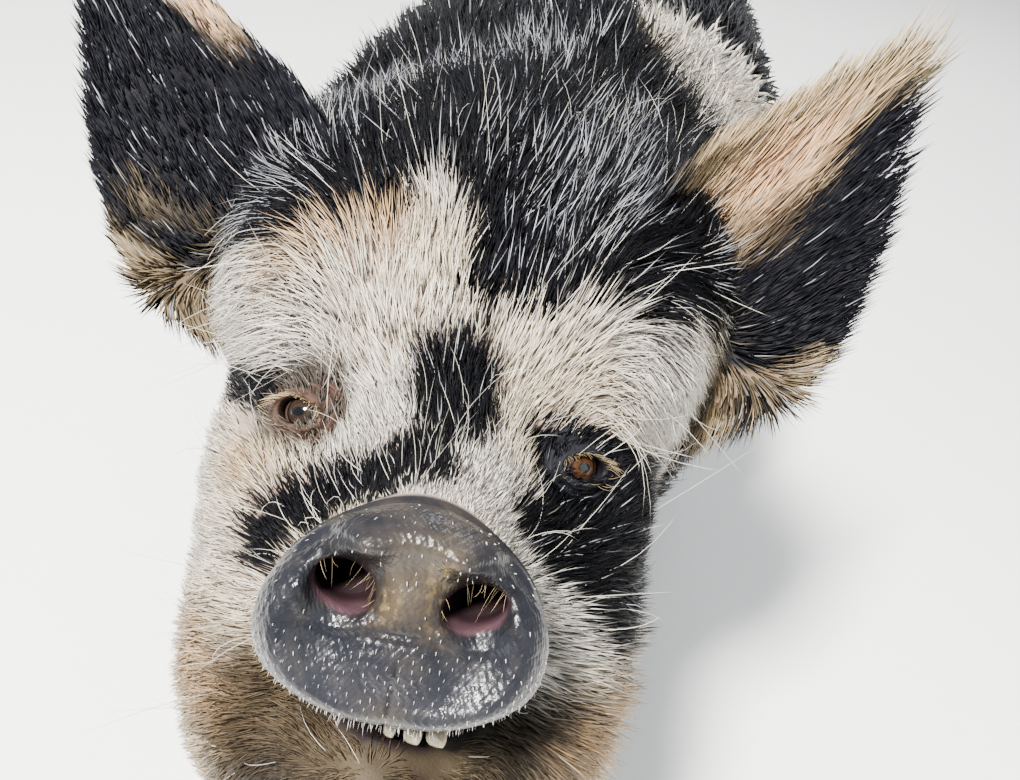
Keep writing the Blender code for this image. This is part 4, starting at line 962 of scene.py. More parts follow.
def tuft_mesh(name, paths, widths, normals, root_colours, tip_colours, uv):
    """Closed three-sided blades along paths (tuft, station, xyz), each ending in a point."""
    count, stations, _ = paths.shape
    along = unit(np.gradient(paths, axis=1))
    side = unit(np.cross(along, normals[:, None, :]))
    up = np.cross(side, along)
    share = np.linspace(0, 1, stations)
    half = 0.5 * widths[:, None] * (1 - 0.7 * share**2)[None, :]
    rings = np.stack(
        [
            paths[:, :-1] - side[:, :-1] * half[:, :-1, None],
            paths[:, :-1] + side[:, :-1] * half[:, :-1, None],
            paths[:, :-1] + up[:, :-1] * half[:, :-1, None] * 0.9,
        ],
        2,
    )
    per = 3 * (stations - 1) + 1
    points = np.concatenate([rings.reshape(count, -1, 3), paths[:, -1:]], 1)
    quads, triangles = [], [(0, 1, 2)]
    for ring in range(stations - 2):
        for n in range(3):
            m = (n + 1) % 3
            quads.append((3 * ring + m, 3 * ring + n, 3 * ring + 3 + n, 3 * ring + 3 + m))
    last = 3 * (stations - 2)
    for n in range(3):
        triangles.append((last + (n + 1) % 3, last + n, per - 1))
    offsets = (np.arange(count) * per)[:, None, None]
    faces = [(np.array(f)[None] + offsets).reshape(-1, len(f[0])) for f in (quads, triangles)]
    made = mesh_of(name, points.reshape(-1, 3), faces)
    t = np.concatenate([np.repeat(share[:-1], 3), [1.0]])[None, :, None]
    colours = root_colours[:, None] * (1 - t) + tip_colours[:, None] * t
    paint(made, colours.reshape(-1, 3))
    spread = np.concatenate([np.tile((-0.5, 0.5, 0.0), stations - 1), [0.0]])
    patch = np.stack([spread, t[0, :, 0] - 0.5], 1)
    uvs = (uv[:, None] + PATCH * patch).reshape(-1, 2)
    layer = made.data.uv_layers.new(name="OFBake")
    corner = np.zeros(len(made.data.loops), np.int32)
    made.data.loops.foreach_get("vertex_index", corner)
    layer.data.foreach_set("uv", uvs[corner].astype(np.float32).ravel())
    return made


def grow(roots, lengths, lifts, turn, stations, cling=0.6):
    """Paths that follow the skin from each root, rising to their lift at the tip."""
    way, normals = lie(roots)
    heading = way * np.cos(turn)[:, None] + np.cross(normals, way) * np.sin(turn)[:, None]
    points = roots - normals * ROOT_DEPTH
    made = [points]
    for station in range(1, stations):
        t = station / (stations - 1)
        points = made[-1] + heading * (lengths / (stations - 1))[:, None]
        slope = unit(slopes(flesh, points))
        gap = flesh(points) - lifts * t
        points = points - np.where(gap > 0, cling * gap, gap)[:, None] * slope
        heading = unit(heading - (heading * slope).sum(1)[:, None] * slope)
        made.append(points)
    return np.stack(made, 1), normals


def clump(paths, share, pull, rng):
    """Draws the tips of neighbouring tufts together."""
    leaders = rng.choice(len(paths), max(2, int(len(paths) * share)), replace=False)
    tree = KDTree(len(leaders))
    for number, index in enumerate(leaders):
        tree.insert(Vector(paths[index, 0]), number)
    tree.balance()
    leader = leaders[[tree.find(Vector(p))[1] for p in paths[:, 0]]]
    t = np.linspace(0, 1, paths.shape[1])[None, :, None] ** 1.6
    return paths + t * (pull * rng.uniform(0.2, 1.0, len(paths)))[:, None, None] * (paths[leader] - paths)


def make_unwrap(*others):
    """A coarse unwrap of the skin's, ears' and tail's own shape, where each tuft finds its place."""
    spans = ((-0.25, 0.25), (-0.66, 0.60), (0.0, 0.67))
    points, faces = surface_of(flesh, *(lines(low, (high, UNWRAP_CELL)) for low, high in spans))
    made = mesh_of("unwrap", points, [faces])
    bm = bmesh.new()
    bm.from_mesh(made.data)
    for other in others:
        bm.from_mesh(other.data)
    bm.to_mesh(made.data)
    bm.free()
    bpy.context.view_layer.objects.active = made
    made.select_set(True)
    bpy.ops.object.mode_set(mode="EDIT")
    bpy.ops.mesh.select_all(action="SELECT")
    bpy.ops.uv.smart_project(angle_limit=math.radians(66), island_margin=0.004)
    bpy.ops.object.mode_set(mode="OBJECT")
    mesh = made.data
    mesh.calc_loop_triangles()
    corners = [list(t.vertices) for t in mesh.loop_triangles]
    loops = np.array([list(t.loops) for t in mesh.loop_triangles])
    uvs = np.zeros(len(mesh.loops) * 2, np.float32)
    mesh.uv_layers[0].data.foreach_get("uv", uvs)
    tree = BVHTree.FromPolygons([v.co for v in mesh.vertices], corners)
    places = np.array([v.co for v in mesh.vertices])[np.array(corners)]
    table = places, uvs.reshape(-1, 2)[loops], tree
    bpy.data.objects.remove(made)
    return table


def map_places(unwrap, roots):
    """Each root's place in the unwrap."""
    places, uvs, tree = unwrap
    found = [tree.find_nearest(Vector(p)) for p in roots + PLACE]
    index = np.array([f[2] for f in found])
    spots = np.array([f[0] for f in found])
    a, b, c = places[index, 0], places[index, 1], places[index, 2]
    v0, v1, v2 = b - a, c - a, spots - a
    d00, d01, d11 = (v0 * v0).sum(1), (v0 * v1).sum(1), (v1 * v1).sum(1)
    d20, d21 = (v2 * v0).sum(1), (v2 * v1).sum(1)
    low = np.maximum(d00 * d11 - d01 * d01, 1e-16)
    v = np.clip((d11 * d20 - d01 * d21) / low, 0, 1)
    w = np.clip((d00 * d21 - d01 * d20) / low, 0, 1)
    u = 1 - v - w
    return uvs[index, 0] * u[:, None] + uvs[index, 1] * v[:, None] + uvs[index, 2] * w[:, None]


def bare_places(points, local):
    """False where no hair grows: on the disc, in the mouth, on the lids and on the hooves."""
    hairy = (on_disc(local) < 0.3) & (mouth_gap(local) > 0.0045)
    before_teeth = np.hypot(local[:, 0] - TOOTH_AT[0], local[:, 2] - TOOTH_AT[2]) < 0.014
    hairy &= ~(before_teeth & (local[:, 1] < -0.03))
    hairy &= (eyes_near(local) > 0.0160) & (points[:, 2] > 0.036)
    return hairy & ((disc_field(local) > 0.0022) | (local[:, 1] > -0.060))


def head_density(points):
    """More tufts on the front of the head than behind it, and none on the body."""
    local = to_head(points)
    behind = ease(local[:, 1], 0.055, 0.115)
    small = 1 + 0.8 * (1 - ease(local[:, 1], -0.06, -0.01))
    amount = (1 - 0.62 * behind) * small * (local[:, 1] < 0.175)
    return amount * bare_places(points, local)


def body_density(points):
    local = to_head(points)
    legs = 1 - ease(points[:, 2], 0.10, 0.30)
    amount = ease(local[:, 1], 0.11, 0.17) * (1 + 3.0 * legs)
    return amount * bare_places(points, local)


def per_metre(thing, density, count):
    """The density scaled so that about count tufts are scattered."""
    areas = np.zeros(len(thing.data.polygons), np.float32)
    thing.data.polygons.foreach_get("area", areas)
    total = (areas * density(middles_of(thing))).sum()
    return lambda points: density(points) * count / total


def tuft_colours(roots, rng, salt):
    """Root and tip colours, with grey hairs among the black and streaks among the white."""
    spots = roots + rng.normal(0, 0.0020, roots.shape)
    dark = dark_share(spots)
    colours = coat_colour(spots)
    grey = (rng.random(len(roots)) < salt) & (dark > 0.5)
    colours[grey] = GREY_HAIR * rng.uniform(0.5, 1.3, (grey.sum(), 1))
    tone = rng.uniform(0.50, 1.12, len(roots)) * (1 + 0.12 * waves(roots, 300, 31))
    tone *= np.where(rng.random(len(roots)) < 0.05, 0.15, 1.0)
    colours = colours * tone[:, None]
    return colours * ROOT_SHADE, np.minimum(colours * TIP_SHADE, 0.92), grey


def coat_pieces(name, stations, paths, widths, normals, low_colours, high_colours, unwrap, order):
    """The tufts as joined meshes, each under the limit of triangles."""
    uv = map_places(unwrap, paths[:, 0])
    each = 6 * (stations - 2) + 4
    size = PIECE_TRIANGLES // each
    pieces = []
    count = math.ceil(len(order) / size)
    for number, part in enumerate(np.array_split(order, count)):
        made = tuft_mesh(
            f"{name}_{number:02d}" if count > 1 else name, paths[part], widths[part], normals[part],
            low_colours[part], high_colours[part], uv[part],
        )
        made.data.materials.append(COAT)
        pieces.append(made)
    return pieces


def head_coat(skin_piece, unwrap):
    rng = np.random.default_rng(5)
    roots = scatter(skin_piece, per_metre(skin_piece, head_density, HEAD_TUFTS), rng)
    local = to_head(roots)
    aside, up, back = np.abs(local[:, 0]), local[:, 2], local[:, 1]
    muzzle = 1 - ease(back, -0.078, -0.015)
    near_eye = 1 - ease(eyes_near(local), 0.018, 0.040)
    brow = ease(aside, 0.035, 0.060) * ease(up, 0.020, 0.045) * (1 - ease(up, 0.095, 0.12))
    crown = ease(up, 0.075, 0.130)
    behind = ease(back, 0.09, 0.16)
    jowl = ease(local[:, 0], 0.035, 0.075) * ease(-up, 0.030, 0.070)
    lengths = 0.0175 + 0.012 * brow + 0.012 * crown + 0.018 * behind + 0.012 * jowl
    lengths *= (1 - 0.62 * muzzle) * (1 - 0.62 * near_eye * (up < 0.012))
    lengths *= rng.uniform(0.6, 1.3, len(roots))
    lifts = (0.0052 + 0.0055 * brow + 0.005 * crown + 0.007 * behind + 0.011 * jowl) * (1 - 0.7 * muzzle)
    lifts *= (1 - 0.6 * near_eye) * rng.uniform(0.15, 1.35, len(roots))
    widths = (0.00070 + 0.0001 * crown + 0.0006 * behind) * rng.uniform(0.6, 1.25, len(roots))
    widths *= 1 - 0.25 * muzzle
    salt = 0.03 + 0.22 * ease(up, 0.065, 0.10) * (1 - behind) * ease(waves(roots, 55, 33), -0.3, 0.6)
    low, high, grey = tuft_colours(roots, rng, salt)
    lengths[grey] *= 1.35
    lifts[grey] *= 1.4
    widths[grey] *= 0.75
    turn = rng.normal(0, 0.20, len(roots)) + 0.30 * waves(roots, 75, 9)
    paths, normals = grow(roots, lengths, lifts, turn, 3)
    paths = clump(paths, 0.07, 0.55, rng)
    order = np.argsort(local[:, 1], kind="stable")
    return coat_pieces("coat_head", 3, paths, widths, normals, low, high, unwrap, order)


def body_coat(skin_piece, unwrap):
    rng = np.random.default_rng(6)
    roots = scatter(skin_piece, per_metre(skin_piece, body_density, BODY_TUFTS), rng)
    local = to_head(roots)
    legs = 1 - ease(roots[:, 2], 0.10, 0.30)
    front = 1 - ease(local[:, 1], 0.14, 0.30)
    lengths = (0.066 - 0.024 * front) * (1 - 0.62 * legs) * rng.uniform(0.7, 1.3, len(roots))
    widths = (0.0034 - 0.0012 * front) * (1 - 0.5 * legs) * rng.uniform(0.6, 1.3, len(roots))
    lifts = (0.016 - 0.003 * front) * (1 - 0.72 * legs) * rng.uniform(0.25, 1.25, len(roots))
    low, high, grey = tuft_colours(roots, rng, 0.03)
    widths[grey] *= 0.6
    turn = rng.normal(0, 0.20, len(roots)) + 0.35 * waves(roots, 30, 10)
    paths, normals = grow(roots, lengths, lifts, turn, 4, 1.0)
    paths = clump(paths, 0.10, 0.5, rng)
    order = np.argsort(local[:, 1], kind="stable")
    return coat_pieces("coat_body", 4, paths, widths, normals, low, high, unwrap, order)


# Ears.


def ear_axes(name):
    along = np.array(EAR_TIP[name]) - np.array(EAR_BASE[name])
    facing = np.array(EAR_FACES[name])
    facing = unit(facing - along * (facing @ along) / (along @ along))
    across = unit(np.cross(along, facing))
    return along, across if across[0] * SIDES[name] > 0 else -across, facing


def ear_points(name, t, s):
    """Points on the middle of the ear's thickness, t from base to tip and s from edge to edge."""
    along, across, facing = ear_axes(name)
    places = [EAR_ROOT] + [n / (len(EAR_OUTER) - 2) for n in range(len(EAR_OUTER) - 1)]
    outer, inner = np.interp(t, places, EAR_OUTER), np.interp(t, places, EAR_INNER)
    curl = np.radians(np.interp(t, places, EAR_CURL))
    out = np.where(s > 0, outer, inner) * np.sin(curl * s) / np.sin(curl)
    forward = 0.5 * (outer + inner) * (1 - np.cos(curl * s)) / np.sin(curl)
    base = np.array(EAR_BASE[name])
    return from_head(base + t[:, None] * along + out[:, None] * across + forward[:, None] * facing)


def ear_face(name, t, s, face):
    """Points and normals on the front (1) or back (-1) of an ear, with ridges inside the cup."""
    middle = ear_points(name, t, s)
    step = 0.01
    down = ear_points(name, t + step, s) - ear_points(name, t - step, s)
    over = ear_points(name, t, s + step) - ear_points(name, t, s - step)
    normals = unit(np.cross(down, over))
    facing = HEAD_TURN @ ear_axes(name)[2]
    normals *= np.sign((normals @ facing))[:, None]
    height = (t - EAR_ROOT) / (1 - EAR_ROOT)
    edge = np.sqrt(np.clip(1 - s * s, 0, 1)) * np.sqrt(np.clip(1 - height**6, 0, 1))
    cup = ease(0.75 - np.abs(s), 0, 0.3) * ease(t, -0.1, 0.2) * (face > 0)
    shift = face * (0.0008 + 0.5 * EAR_THICK * edge) + 0.0009 * np.cos(s * 11 + 2 * t) * cup
    return middle + shift[:, None] * normals, normals * np.broadcast_to(face, t.shape)[:, None]


def make_ear(name, rows=60, columns=41):
    """A closed thin leaf with a rounded rim."""
    t, s = np.meshgrid(np.linspace(EAR_ROOT, 0.995, rows), np.linspace(-1, 1, columns), indexing="ij")
    front, _ = ear_face(name, t.ravel(), s.ravel(), 1)
    back, _ = ear_face(name, t.ravel(), s.ravel(), -1)
    rings = np.concatenate([front.reshape(rows, columns, 3), back.reshape(rows, columns, 3)[:, ::-1]], 1)
    made = loft(f"ear_skin_{name}", rings)
    places = np.concatenate([np.stack([t, s], 2), np.stack([t, s], 2)[:, ::-1]], 1).reshape(-1, 2)
    sides = np.tile(np.repeat((1, -1), columns), rows)
    colours = 0.5 * ear_colour(name, places[:, 0], places[:, 1], sides)
    colours = mix(colours, PINK * 0.6, 0.5 * ease(colours[:, 0], 0.05, 0.15))
    paint(made, np.concatenate([colours, colours[:1], colours[-1:]]))
    made.data.materials.append(SKIN)
    return made


def ear_colour(name, t, s, face):
    """The hair's colour on an ear: black, with the pale stretches of each side."""
    wobble = 0.10 * np.sin(9 * t + 3 * s) + 0.06 * np.sin(23 * t - 11 * s + 1)
    if name == "left":
        pale = (1 - ease(s + wobble - 0.35 * ease(t, 0.6, 1.0), -0.20, 0.25)) * ease(t + wobble, 0.05, 0.25)
        warm = bell(np.hypot((t - 0.45) / 0.30, (s + 0.35) / 0.45), 1.0)
        low = ease(s + wobble, 0.1, 0.5) * (1 - ease(t + wobble, -0.06, 0.08))
        tip = ease(t, 0.86, 0.98)
    else:
        pale = (1 - ease(s + wobble, -0.75, -0.50)) * ease(t, 0.40, 0.55)
        warm = 0.5 * pale
        low = 0.55 * ease(s + wobble, 0.1, 0.5) * (1 - ease(t + wobble, 0.0, 0.16))
        tip = 0.3 * ease(t, 0.94, 1.0)
    pale = np.maximum(pale, tip)
    back = face < 0
    pale = np.where(back, 0.35 * pale * (name == "left"), pale)
    light = mix(CREAM * 0.62, TAN * 0.8 + PINK * 0.35, np.clip(warm, 0, 1))
    colour = mix(np.tile(BLACK * 1.3, (len(t), 1)), light, pale)
    return mix(colour, CREAM * 0.62, np.where(back, 0, 0.75 * low))


def ear_coat(name, unwrap):
    rng = np.random.default_rng(40 + SIDES[name])
    t = rng.uniform(EAR_ROOT, 1.0, EAR_TUFTS)
    width = np.interp(t, np.linspace(EAR_ROOT, 1, len(EAR_OUTER)), EAR_OUTER)
    keep = rng.random(EAR_TUFTS) < width / max(EAR_OUTER)
    t = t[keep]
    s = rng.uniform(-1, 1, len(t))
    rim = rng.random(len(t)) < 0.22
    s[rim] = np.sign(s[rim]) * rng.uniform(0.93, 1.0, rim.sum())
    face = np.where(rng.random(len(t)) < 0.6, 1.0, -1.0)
    roots, normals = ear_face(name, t, s, face)
    down = unit(ear_points(name, t + 0.01, s) - ear_points(name, t - 0.01, s))
    over = unit(ear_points(name, t, s + 0.01) - ear_points(name, t, s - 0.01))
    sleek = name == "right"
    fan = ((0.45 if sleek else 0.95) * s + rng.normal(0, 0.22, len(t)))[:, None]
    inner = (face > 0) & ~rim
    base = 1 - ease(t, -0.10, 0.10)
    hanging = (base * (s > -0.2))[:, None]
    heading = down * (1 - 1.7 * hanging) + (fan + 0.6 * hanging) * over
    heading = unit(heading + normals * np.where(inner, 0.20, 0.10)[:, None])
    lengths = (0.011 + 0.002 * inner if sleek else 0.015 + 0.006 * inner + 0.004 * rim)
    lengths = (lengths + 0.018 * hanging[:, 0]) * rng.uniform(0.6, 1.25, len(t))
    lengths = lengths * (1 + 0.35 * ease(t, 0.8, 1.0))
    stations = np.linspace(0, 1, 3)[None, :, None]
    reach = lengths[:, None, None]
    paths = roots[:, None] + heading[:, None] * reach * stations
    paths += ((1 - 2 * hanging) * down - 0.5 * normals)[:, None] * 0.25 * reach * stations**2
    paths = clump(paths, 0.10, 0.45, rng)
    along, across = t + rng.normal(0, 0.02, len(t)), s + rng.normal(0, 0.05, len(t))
    colours = ear_colour(name, along, across, face)
    colours *= rng.uniform(0.7, 1.25, (len(t), 1))
    grey = rng.random(len(t)) < 0.025
    colours[grey] = GREY_HAIR * 0.6
    widths = 0.00095 * rng.uniform(0.6, 1.3, len(t))
    low, high = colours * 0.55, np.minimum(colours * TIP_SHADE, 0.9)
    order = np.arange(len(t))
    return coat_pieces(f"coat_ear_{name}", 3, paths, widths, normals, low, high, unwrap, order)


# Eyes, lashes, whiskers and the hairs of the snout.


def make_eye(name):
    """An eyeball with a clear bulge over its iris, painted by the angle from the way it looks."""
    side = SIDES[name]
    looks, across, up = eye_frame(side)
    rings = []
    tilts = np.concatenate([np.linspace(0.02, 0.75, 44), np.linspace(0.78, math.pi - 0.05, 26)])
    turns = np.linspace(0, 2 * np.pi, 96, endpoint=False)
    for tilt in tilts:
        radius = EYE_RADIUS + 0.0007 * bell(tilt, 0.42)
        spot = math.cos(tilt) * looks + math.sin(tilt) * (
            np.cos(turns)[:, None] * across + np.sin(turns)[:, None] * up
        )
        rings.append(from_head(EYE * (side, 1, 1) + radius * spot))
    made = loft(f"eyeball_{name}", rings)
    q = unit(to_head(points_of(made)) - EYE * (side, 1, 1))
    x, z = q @ across, q @ up
    ahead = q @ looks
    spread = np.where(ahead > 0, np.hypot(x, z), 2.0)
    turn = np.arctan2(z, x)
    rays = np.sin(turn * 46 + 3 * np.sin(turn * 7))
    streaks = 0.5 + 0.5 * rays * np.cos(spread * 40 + 5 * np.sin(turn * 5))
    colour = mix(IRIS[name] * 0.55, IRIS[name] * 1.35, streaks * ease(spread, 0.15, 0.4))
    colour = mix(colour, BLACK * 0.4, ease(spread, 0.38, 0.46))
    white = EYE_WHITE * (1 + 0.3 * waves(points_of(made), 1500, 50))[:, None]
    colour = mix(colour, white, ease(spread, 0.48, 0.56))
    pupil = np.hypot(x / 0.235, z / 0.150)
    colour = mix(colour, BLACK * 0.2, 1 - ease(pupil, 0.9, 1.1))
    paint(made, colour)
    gloss = material(f"eye_{name}", 0.10, 0.02, 400.0, spread=0.02, wet=0.6, specular=0.2)
    gloss.node_tree.nodes["Principled BSDF"].inputs["Coat Roughness"].default_value = 0.02
    made.data.materials.append(gloss)
    return made


def strands(name, roots, headings, lengths, widths, sag, low, high, unwrap, stations=6):
    """Single long hairs: straight from the root, then bending by their sag."""
    t = np.linspace(0, 1, stations)[None, :, None]
    reach = lengths[:, None, None]
    paths = roots[:, None] + headings[:, None] * reach * t + sag[:, None] * reach * t**2
    normals = unit(np.cross(headings, (0.2, 0.3, 0.93)))
    order = np.arange(len(roots))
    return coat_pieces(name, stations, paths, widths, normals, low, high, unwrap, order)


def head_way(x, y, z):
    return HEAD_TURN @ np.array((x, y, z), float)


def whiskers(skin_piece, unwrap):
    """Long sparse hairs round the snout, on the cheeks and chin, and over the eyes."""
    rng = np.random.default_rng(12)

    def density(points):
        local = to_head(points)
        snout = (1 - ease(local[:, 1], -0.045, 0.0)) * (local[:, 1] > -0.080)
        aside = np.abs(local[:, 0])
        brow = bell(np.hypot(aside - 0.060, local[:, 2] - 0.030), 0.016) * (local[:, 1] < 0.02)
        crown = ease(local[:, 2], 0.06, 0.11) * (local[:, 1] < 0.08)
        chin = ease(-local[:, 2], 0.075, 0.090)
        amount = 1.0 * snout * (1 - 0.9 * chin) + 7.0 * brow + 0.5 * crown + 0.25
        return amount * (local[:, 1] < 0.09) * bare_places(points, local)

    roots = scatter(skin_piece, per_metre(skin_piece, density, WHISKERS), rng)
    local = to_head(roots)
    way, normals = lie(roots)
    snout = 1 - ease(local[:, 1], -0.05, 0.0)
    stand = rng.uniform(0.15, 0.75, (len(roots), 1)) + 0.25 * snout[:, None]
    headings = unit(way + stand * normals + rng.normal(0, 0.25, roots.shape))
    lengths = rng.uniform(0.026, 0.056, len(roots)) * (1 - 0.35 * snout)
    sag = -0.35 * rng.uniform(0.2, 1.2, (len(roots), 1)) * normals + rng.normal(0, 0.24, roots.shape)
    widths = rng.uniform(0.00022, 0.00040, len(roots))
    shade = WHITE * rng.uniform(0.55, 1.0, (len(roots), 1))
    return strands("whiskers", roots, headings, lengths, widths, sag, 0.8 * shade, shade, unwrap)


def lashes(unwrap):
    """Two rows of pale lashes on each upper lid and a few on the lower."""
    rng = np.random.default_rng(13)
    roots, headings, sags = [], [], []
    for side in SIDES.values():
        looks, across, up = eye_frame(side)
        for row, (from_angle, to_angle, count) in enumerate(LASH_ROWS):
            for angle in np.radians(np.linspace(from_angle, to_angle, count) + rng.normal(0, 2, count)):
                grown = 1.16 + 0.10 * row
                x = math.cos(angle) * LID_HALF[0] * grown
                z = math.sin(angle) * LID_HALF[1] * grown - LID_BOW * x * x
                spot = EYE * (side, 1, 1) + x * across + z * up + 0.0135 * looks
                roots.append(spot)
                outward = unit(x * across + z * up)
                headings.append(unit(looks + 0.35 * outward + rng.normal(0, 0.10, 3)))
                sags.append(-0.45 * up * np.sign(math.sin(angle)) + 0.15 * outward)
    roots = onto(skin, from_head(np.array(roots)), 4)
    headings = np.array(headings) @ HEAD_TURN.T
    sags = np.array(sags) @ HEAD_TURN.T
    count = len(roots)
    lengths = rng.uniform(0.0055, 0.0095, count)
    widths = rng.uniform(0.00018, 0.00028, count)
    right = to_head(roots)[:, 0] < 0
    colour = mix(np.tile(CREAM * 0.35, (count, 1)), CREAM, right.astype(float))
    return strands("lashes", roots, headings, lengths, widths, sags, colour * 0.7, colour, unwrap, 5)


def thin_out(points, apart):
    """Keeps points that stand at least so far apart."""
    kept = points[:1]
    for point in points[1:]:
        if np.linalg.norm(kept - point, axis=1).min() > apart:
            kept = np.concatenate([kept, [point]])
    return kept


def stubble(snout_piece, unwrap):
    """Pale stubs over the lower half of the disc, longer along its lower edge, and nostril hairs."""
    rng = np.random.default_rng(14)

    def density(points):
        height = disc_axes(to_head(points))[1]
        return 1.03 - ease(height / DISC_HALF[1], -0.35, 0.0)

    roots = scatter(snout_piece, per_metre(snout_piece, density, STUBS), rng)
    local = to_head(roots)
    clear = np.minimum(nostril(local, 1), nostril(local, -1)) > 0.003
    roots = thin_out(roots[clear], 0.0025)
    edge = ease(-disc_axes(to_head(roots))[1] / DISC_HALF[1], 0.75, 1.0)
    normals = unit(slopes(flesh, roots))
    lengths = (0.0011 + 0.0022 * edge**1.5) * rng.uniform(0.5, 1.3, len(roots))
    headings = unit(normals + head_way(0, 0, -0.8) + rng.normal(0, 0.22, roots.shape))
    sag = np.tile(head_way(0, 0, -0.3), (len(roots), 1))
    widths = (0.00050 - 0.00022 * edge) * rng.uniform(0.7, 1.2, len(roots))
    shade = rng.uniform(0.35, 0.8, (len(roots), 1)) * STUB
    made = strands("stubble", roots, headings, lengths, widths, sag, shade, shade, unwrap, 4)
    spots, ways = [], []
    for side in SIDES.values():
        for angle in np.radians(rng.uniform(15, 170, 15)):
            out, up = 0.0106 * math.cos(angle), 0.0074 * math.sin(angle)
            lean, slope = math.cos(NOSTRIL_LEAN), math.sin(NOSTRIL_LEAN)
            x, z = out * lean - up * slope, up * lean + out * slope
            spots.append(NOSTRIL_AT * (side, 0, 1) + (x * side, -0.0985, z))
            ways.append((-0.5 * x / 0.009 * side, -0.7, -0.8))
    roots = onto(skin, from_head(np.array(spots)), 4)
    headings = unit(np.array(ways) + rng.normal(0, 0.25, (len(spots), 3))) @ HEAD_TURN.T
    lengths = rng.uniform(0.003, 0.0085, len(roots))
    sag = np.tile(head_way(0, 0.45, -0.35), (len(roots), 1)) + rng.normal(0, 0.25, roots.shape)
    widths = rng.uniform(0.00010, 0.00017, len(roots))
    shade = rng.uniform(0.15, 0.6, (len(roots), 1)) * CREAM
    hairs = strands("nostril_hairs", roots, headings, lengths, widths, sag, shade * 0.8, shade, unwrap)
    return made + hairs


# Teeth, hooves, tassels and tail.


def make_teeth():
    """Two worn lower front teeth that point forward and a smaller one beside them, ridged along."""
    turns = np.linspace(0, 2 * np.pi, TOOTH_SIDES, endpoint=False)
    shares = np.linspace(0, 1, TOOTH_RINGS)
    lean, slope = math.cos(TOOTH_LEAN), math.sin(TOOTH_LEAN)
    made = []
    for number, (x, up, half) in enumerate(TEETH):
        ripple = 1 + 0.035 * np.sin(turns * 9 + number)
        rings = []
        for share in shares:
            rounded = math.sqrt(max(1 - max(0, (share - 0.72) / 0.28) ** 2.4, 0.02))
            wide = half * (0.80 + 0.22 * share) * (0.35 + 0.65 * rounded)
            out = blunt(np.cos(turns), 0.75) * wide
            deep = blunt(np.sin(turns), 0.75) * TOOTH_DEEP * rounded * ripple
            ahead = TOOTH_ROOT + TOOTH_LENGTH * share + 0.0008 * np.cos(turns) * share
            back, above = deep * lean - ahead * slope, ahead * lean + deep * slope + up
            rings.append(from_head(TOOTH_AT + np.stack([x + out, back, above], 1)))
        tooth = loft(f"tooth_{number}", rings)
        share = np.concatenate([np.repeat(shares, TOOTH_SIDES), [0, 1]])
        ivory = mix(TOOTH_STAIN, IVORY, ease(share, 0.50, 0.85))
        stain = 0.5 + 0.5 * waves(points_of(tooth) * (1, 1, 0.25), 1500, 60 + number)
        paint(tooth, mix(ivory, ivory * (0.55, 0.48, 0.40), np.clip(stain, 0, 1) * 0.7))
        made.append(tooth)
    enamel = material("enamel", 0.28, 0.15, 500.0, wet=0.3)
    for tooth in made:
        tooth.data.materials.append(enamel)
    return made


def make_hoof(node):
    """A horn toe in its node's own box: flat below with a soft edge, growth rings and a rounded crown."""
    middle = np.mean(box_of(node), axis=0)
    turns = np.linspace(0, 2 * np.pi, 56, endpoint=False)
    rings = []
    wall = [(share * HOOF_TOP, 1.0) for share in np.linspace(0.003, 0.93, 20)[1:]]
    sole = [(0.0, 0.75), (0.0, 0.93), (0.0006, 0.975), (0.0016, 1.0)]
    for height, size in sole + wall + [(0.97 * HOOF_TOP, 0.9), (0.99 * HOOF_TOP, 0.6)]:
        share = height / HOOF_TOP
        half = np.array(HOOF_BOTTOM) * (1 - share) + np.array(HOOF_CROWN) * share
        growth = 1 + 0.012 * math.sin(share * 40) * (0.02 < share < 0.9)
        sine = np.sin(turns)
        x = blunt(np.cos(turns), 0.85) * half[0] * size * growth * (1 - 0.25 * np.maximum(-sine, 0))
        y = sine * half[1] * size * growth + HOOF_LEAN * (0.5 - share)
        rings.append(np.stack([middle[0] + x, middle[1] + y, np.full(len(x), height)], 1))
    made = loft(f"horn_{node}", rings)
    points = points_of(made)
    horn = mix(HORN, HORN_PALE, ease(waves(points, 170, 70), -0.3, 0.8))
    horn = mix(horn, HORN_WORN, 0.7 * (1 - ease(points[:, 2], 0.001, 0.006)))
    paint(made, horn)
    return made


def make_dewclaw(node):
    middle = np.mean(box_of(node), axis=0)
    way = np.array((0, math.sin(CLAW_LEAN), -math.cos(CLAW_LEAN)))
    shares = np.linspace(0, 1, 12)
    path = middle + (shares[:, None] - 0.5) * CLAW_LENGTH * way
    end = np.clip(1 - np.maximum(0, (shares - 0.7) / 0.31) ** 2, 0.02, 1)
    radii = (0.0078 - 0.0032 * shares) * np.sqrt(end)
    made = loft(f"horn_{node}", tube_rings(path, radii * (1 + 0.02 * np.sin(shares * 30)), 28))
    points = points_of(made)
    paint(made, mix(CLAW, CLAW_PALE, ease(waves(points, 220, 71), -0.3, 0.8)))
    return made


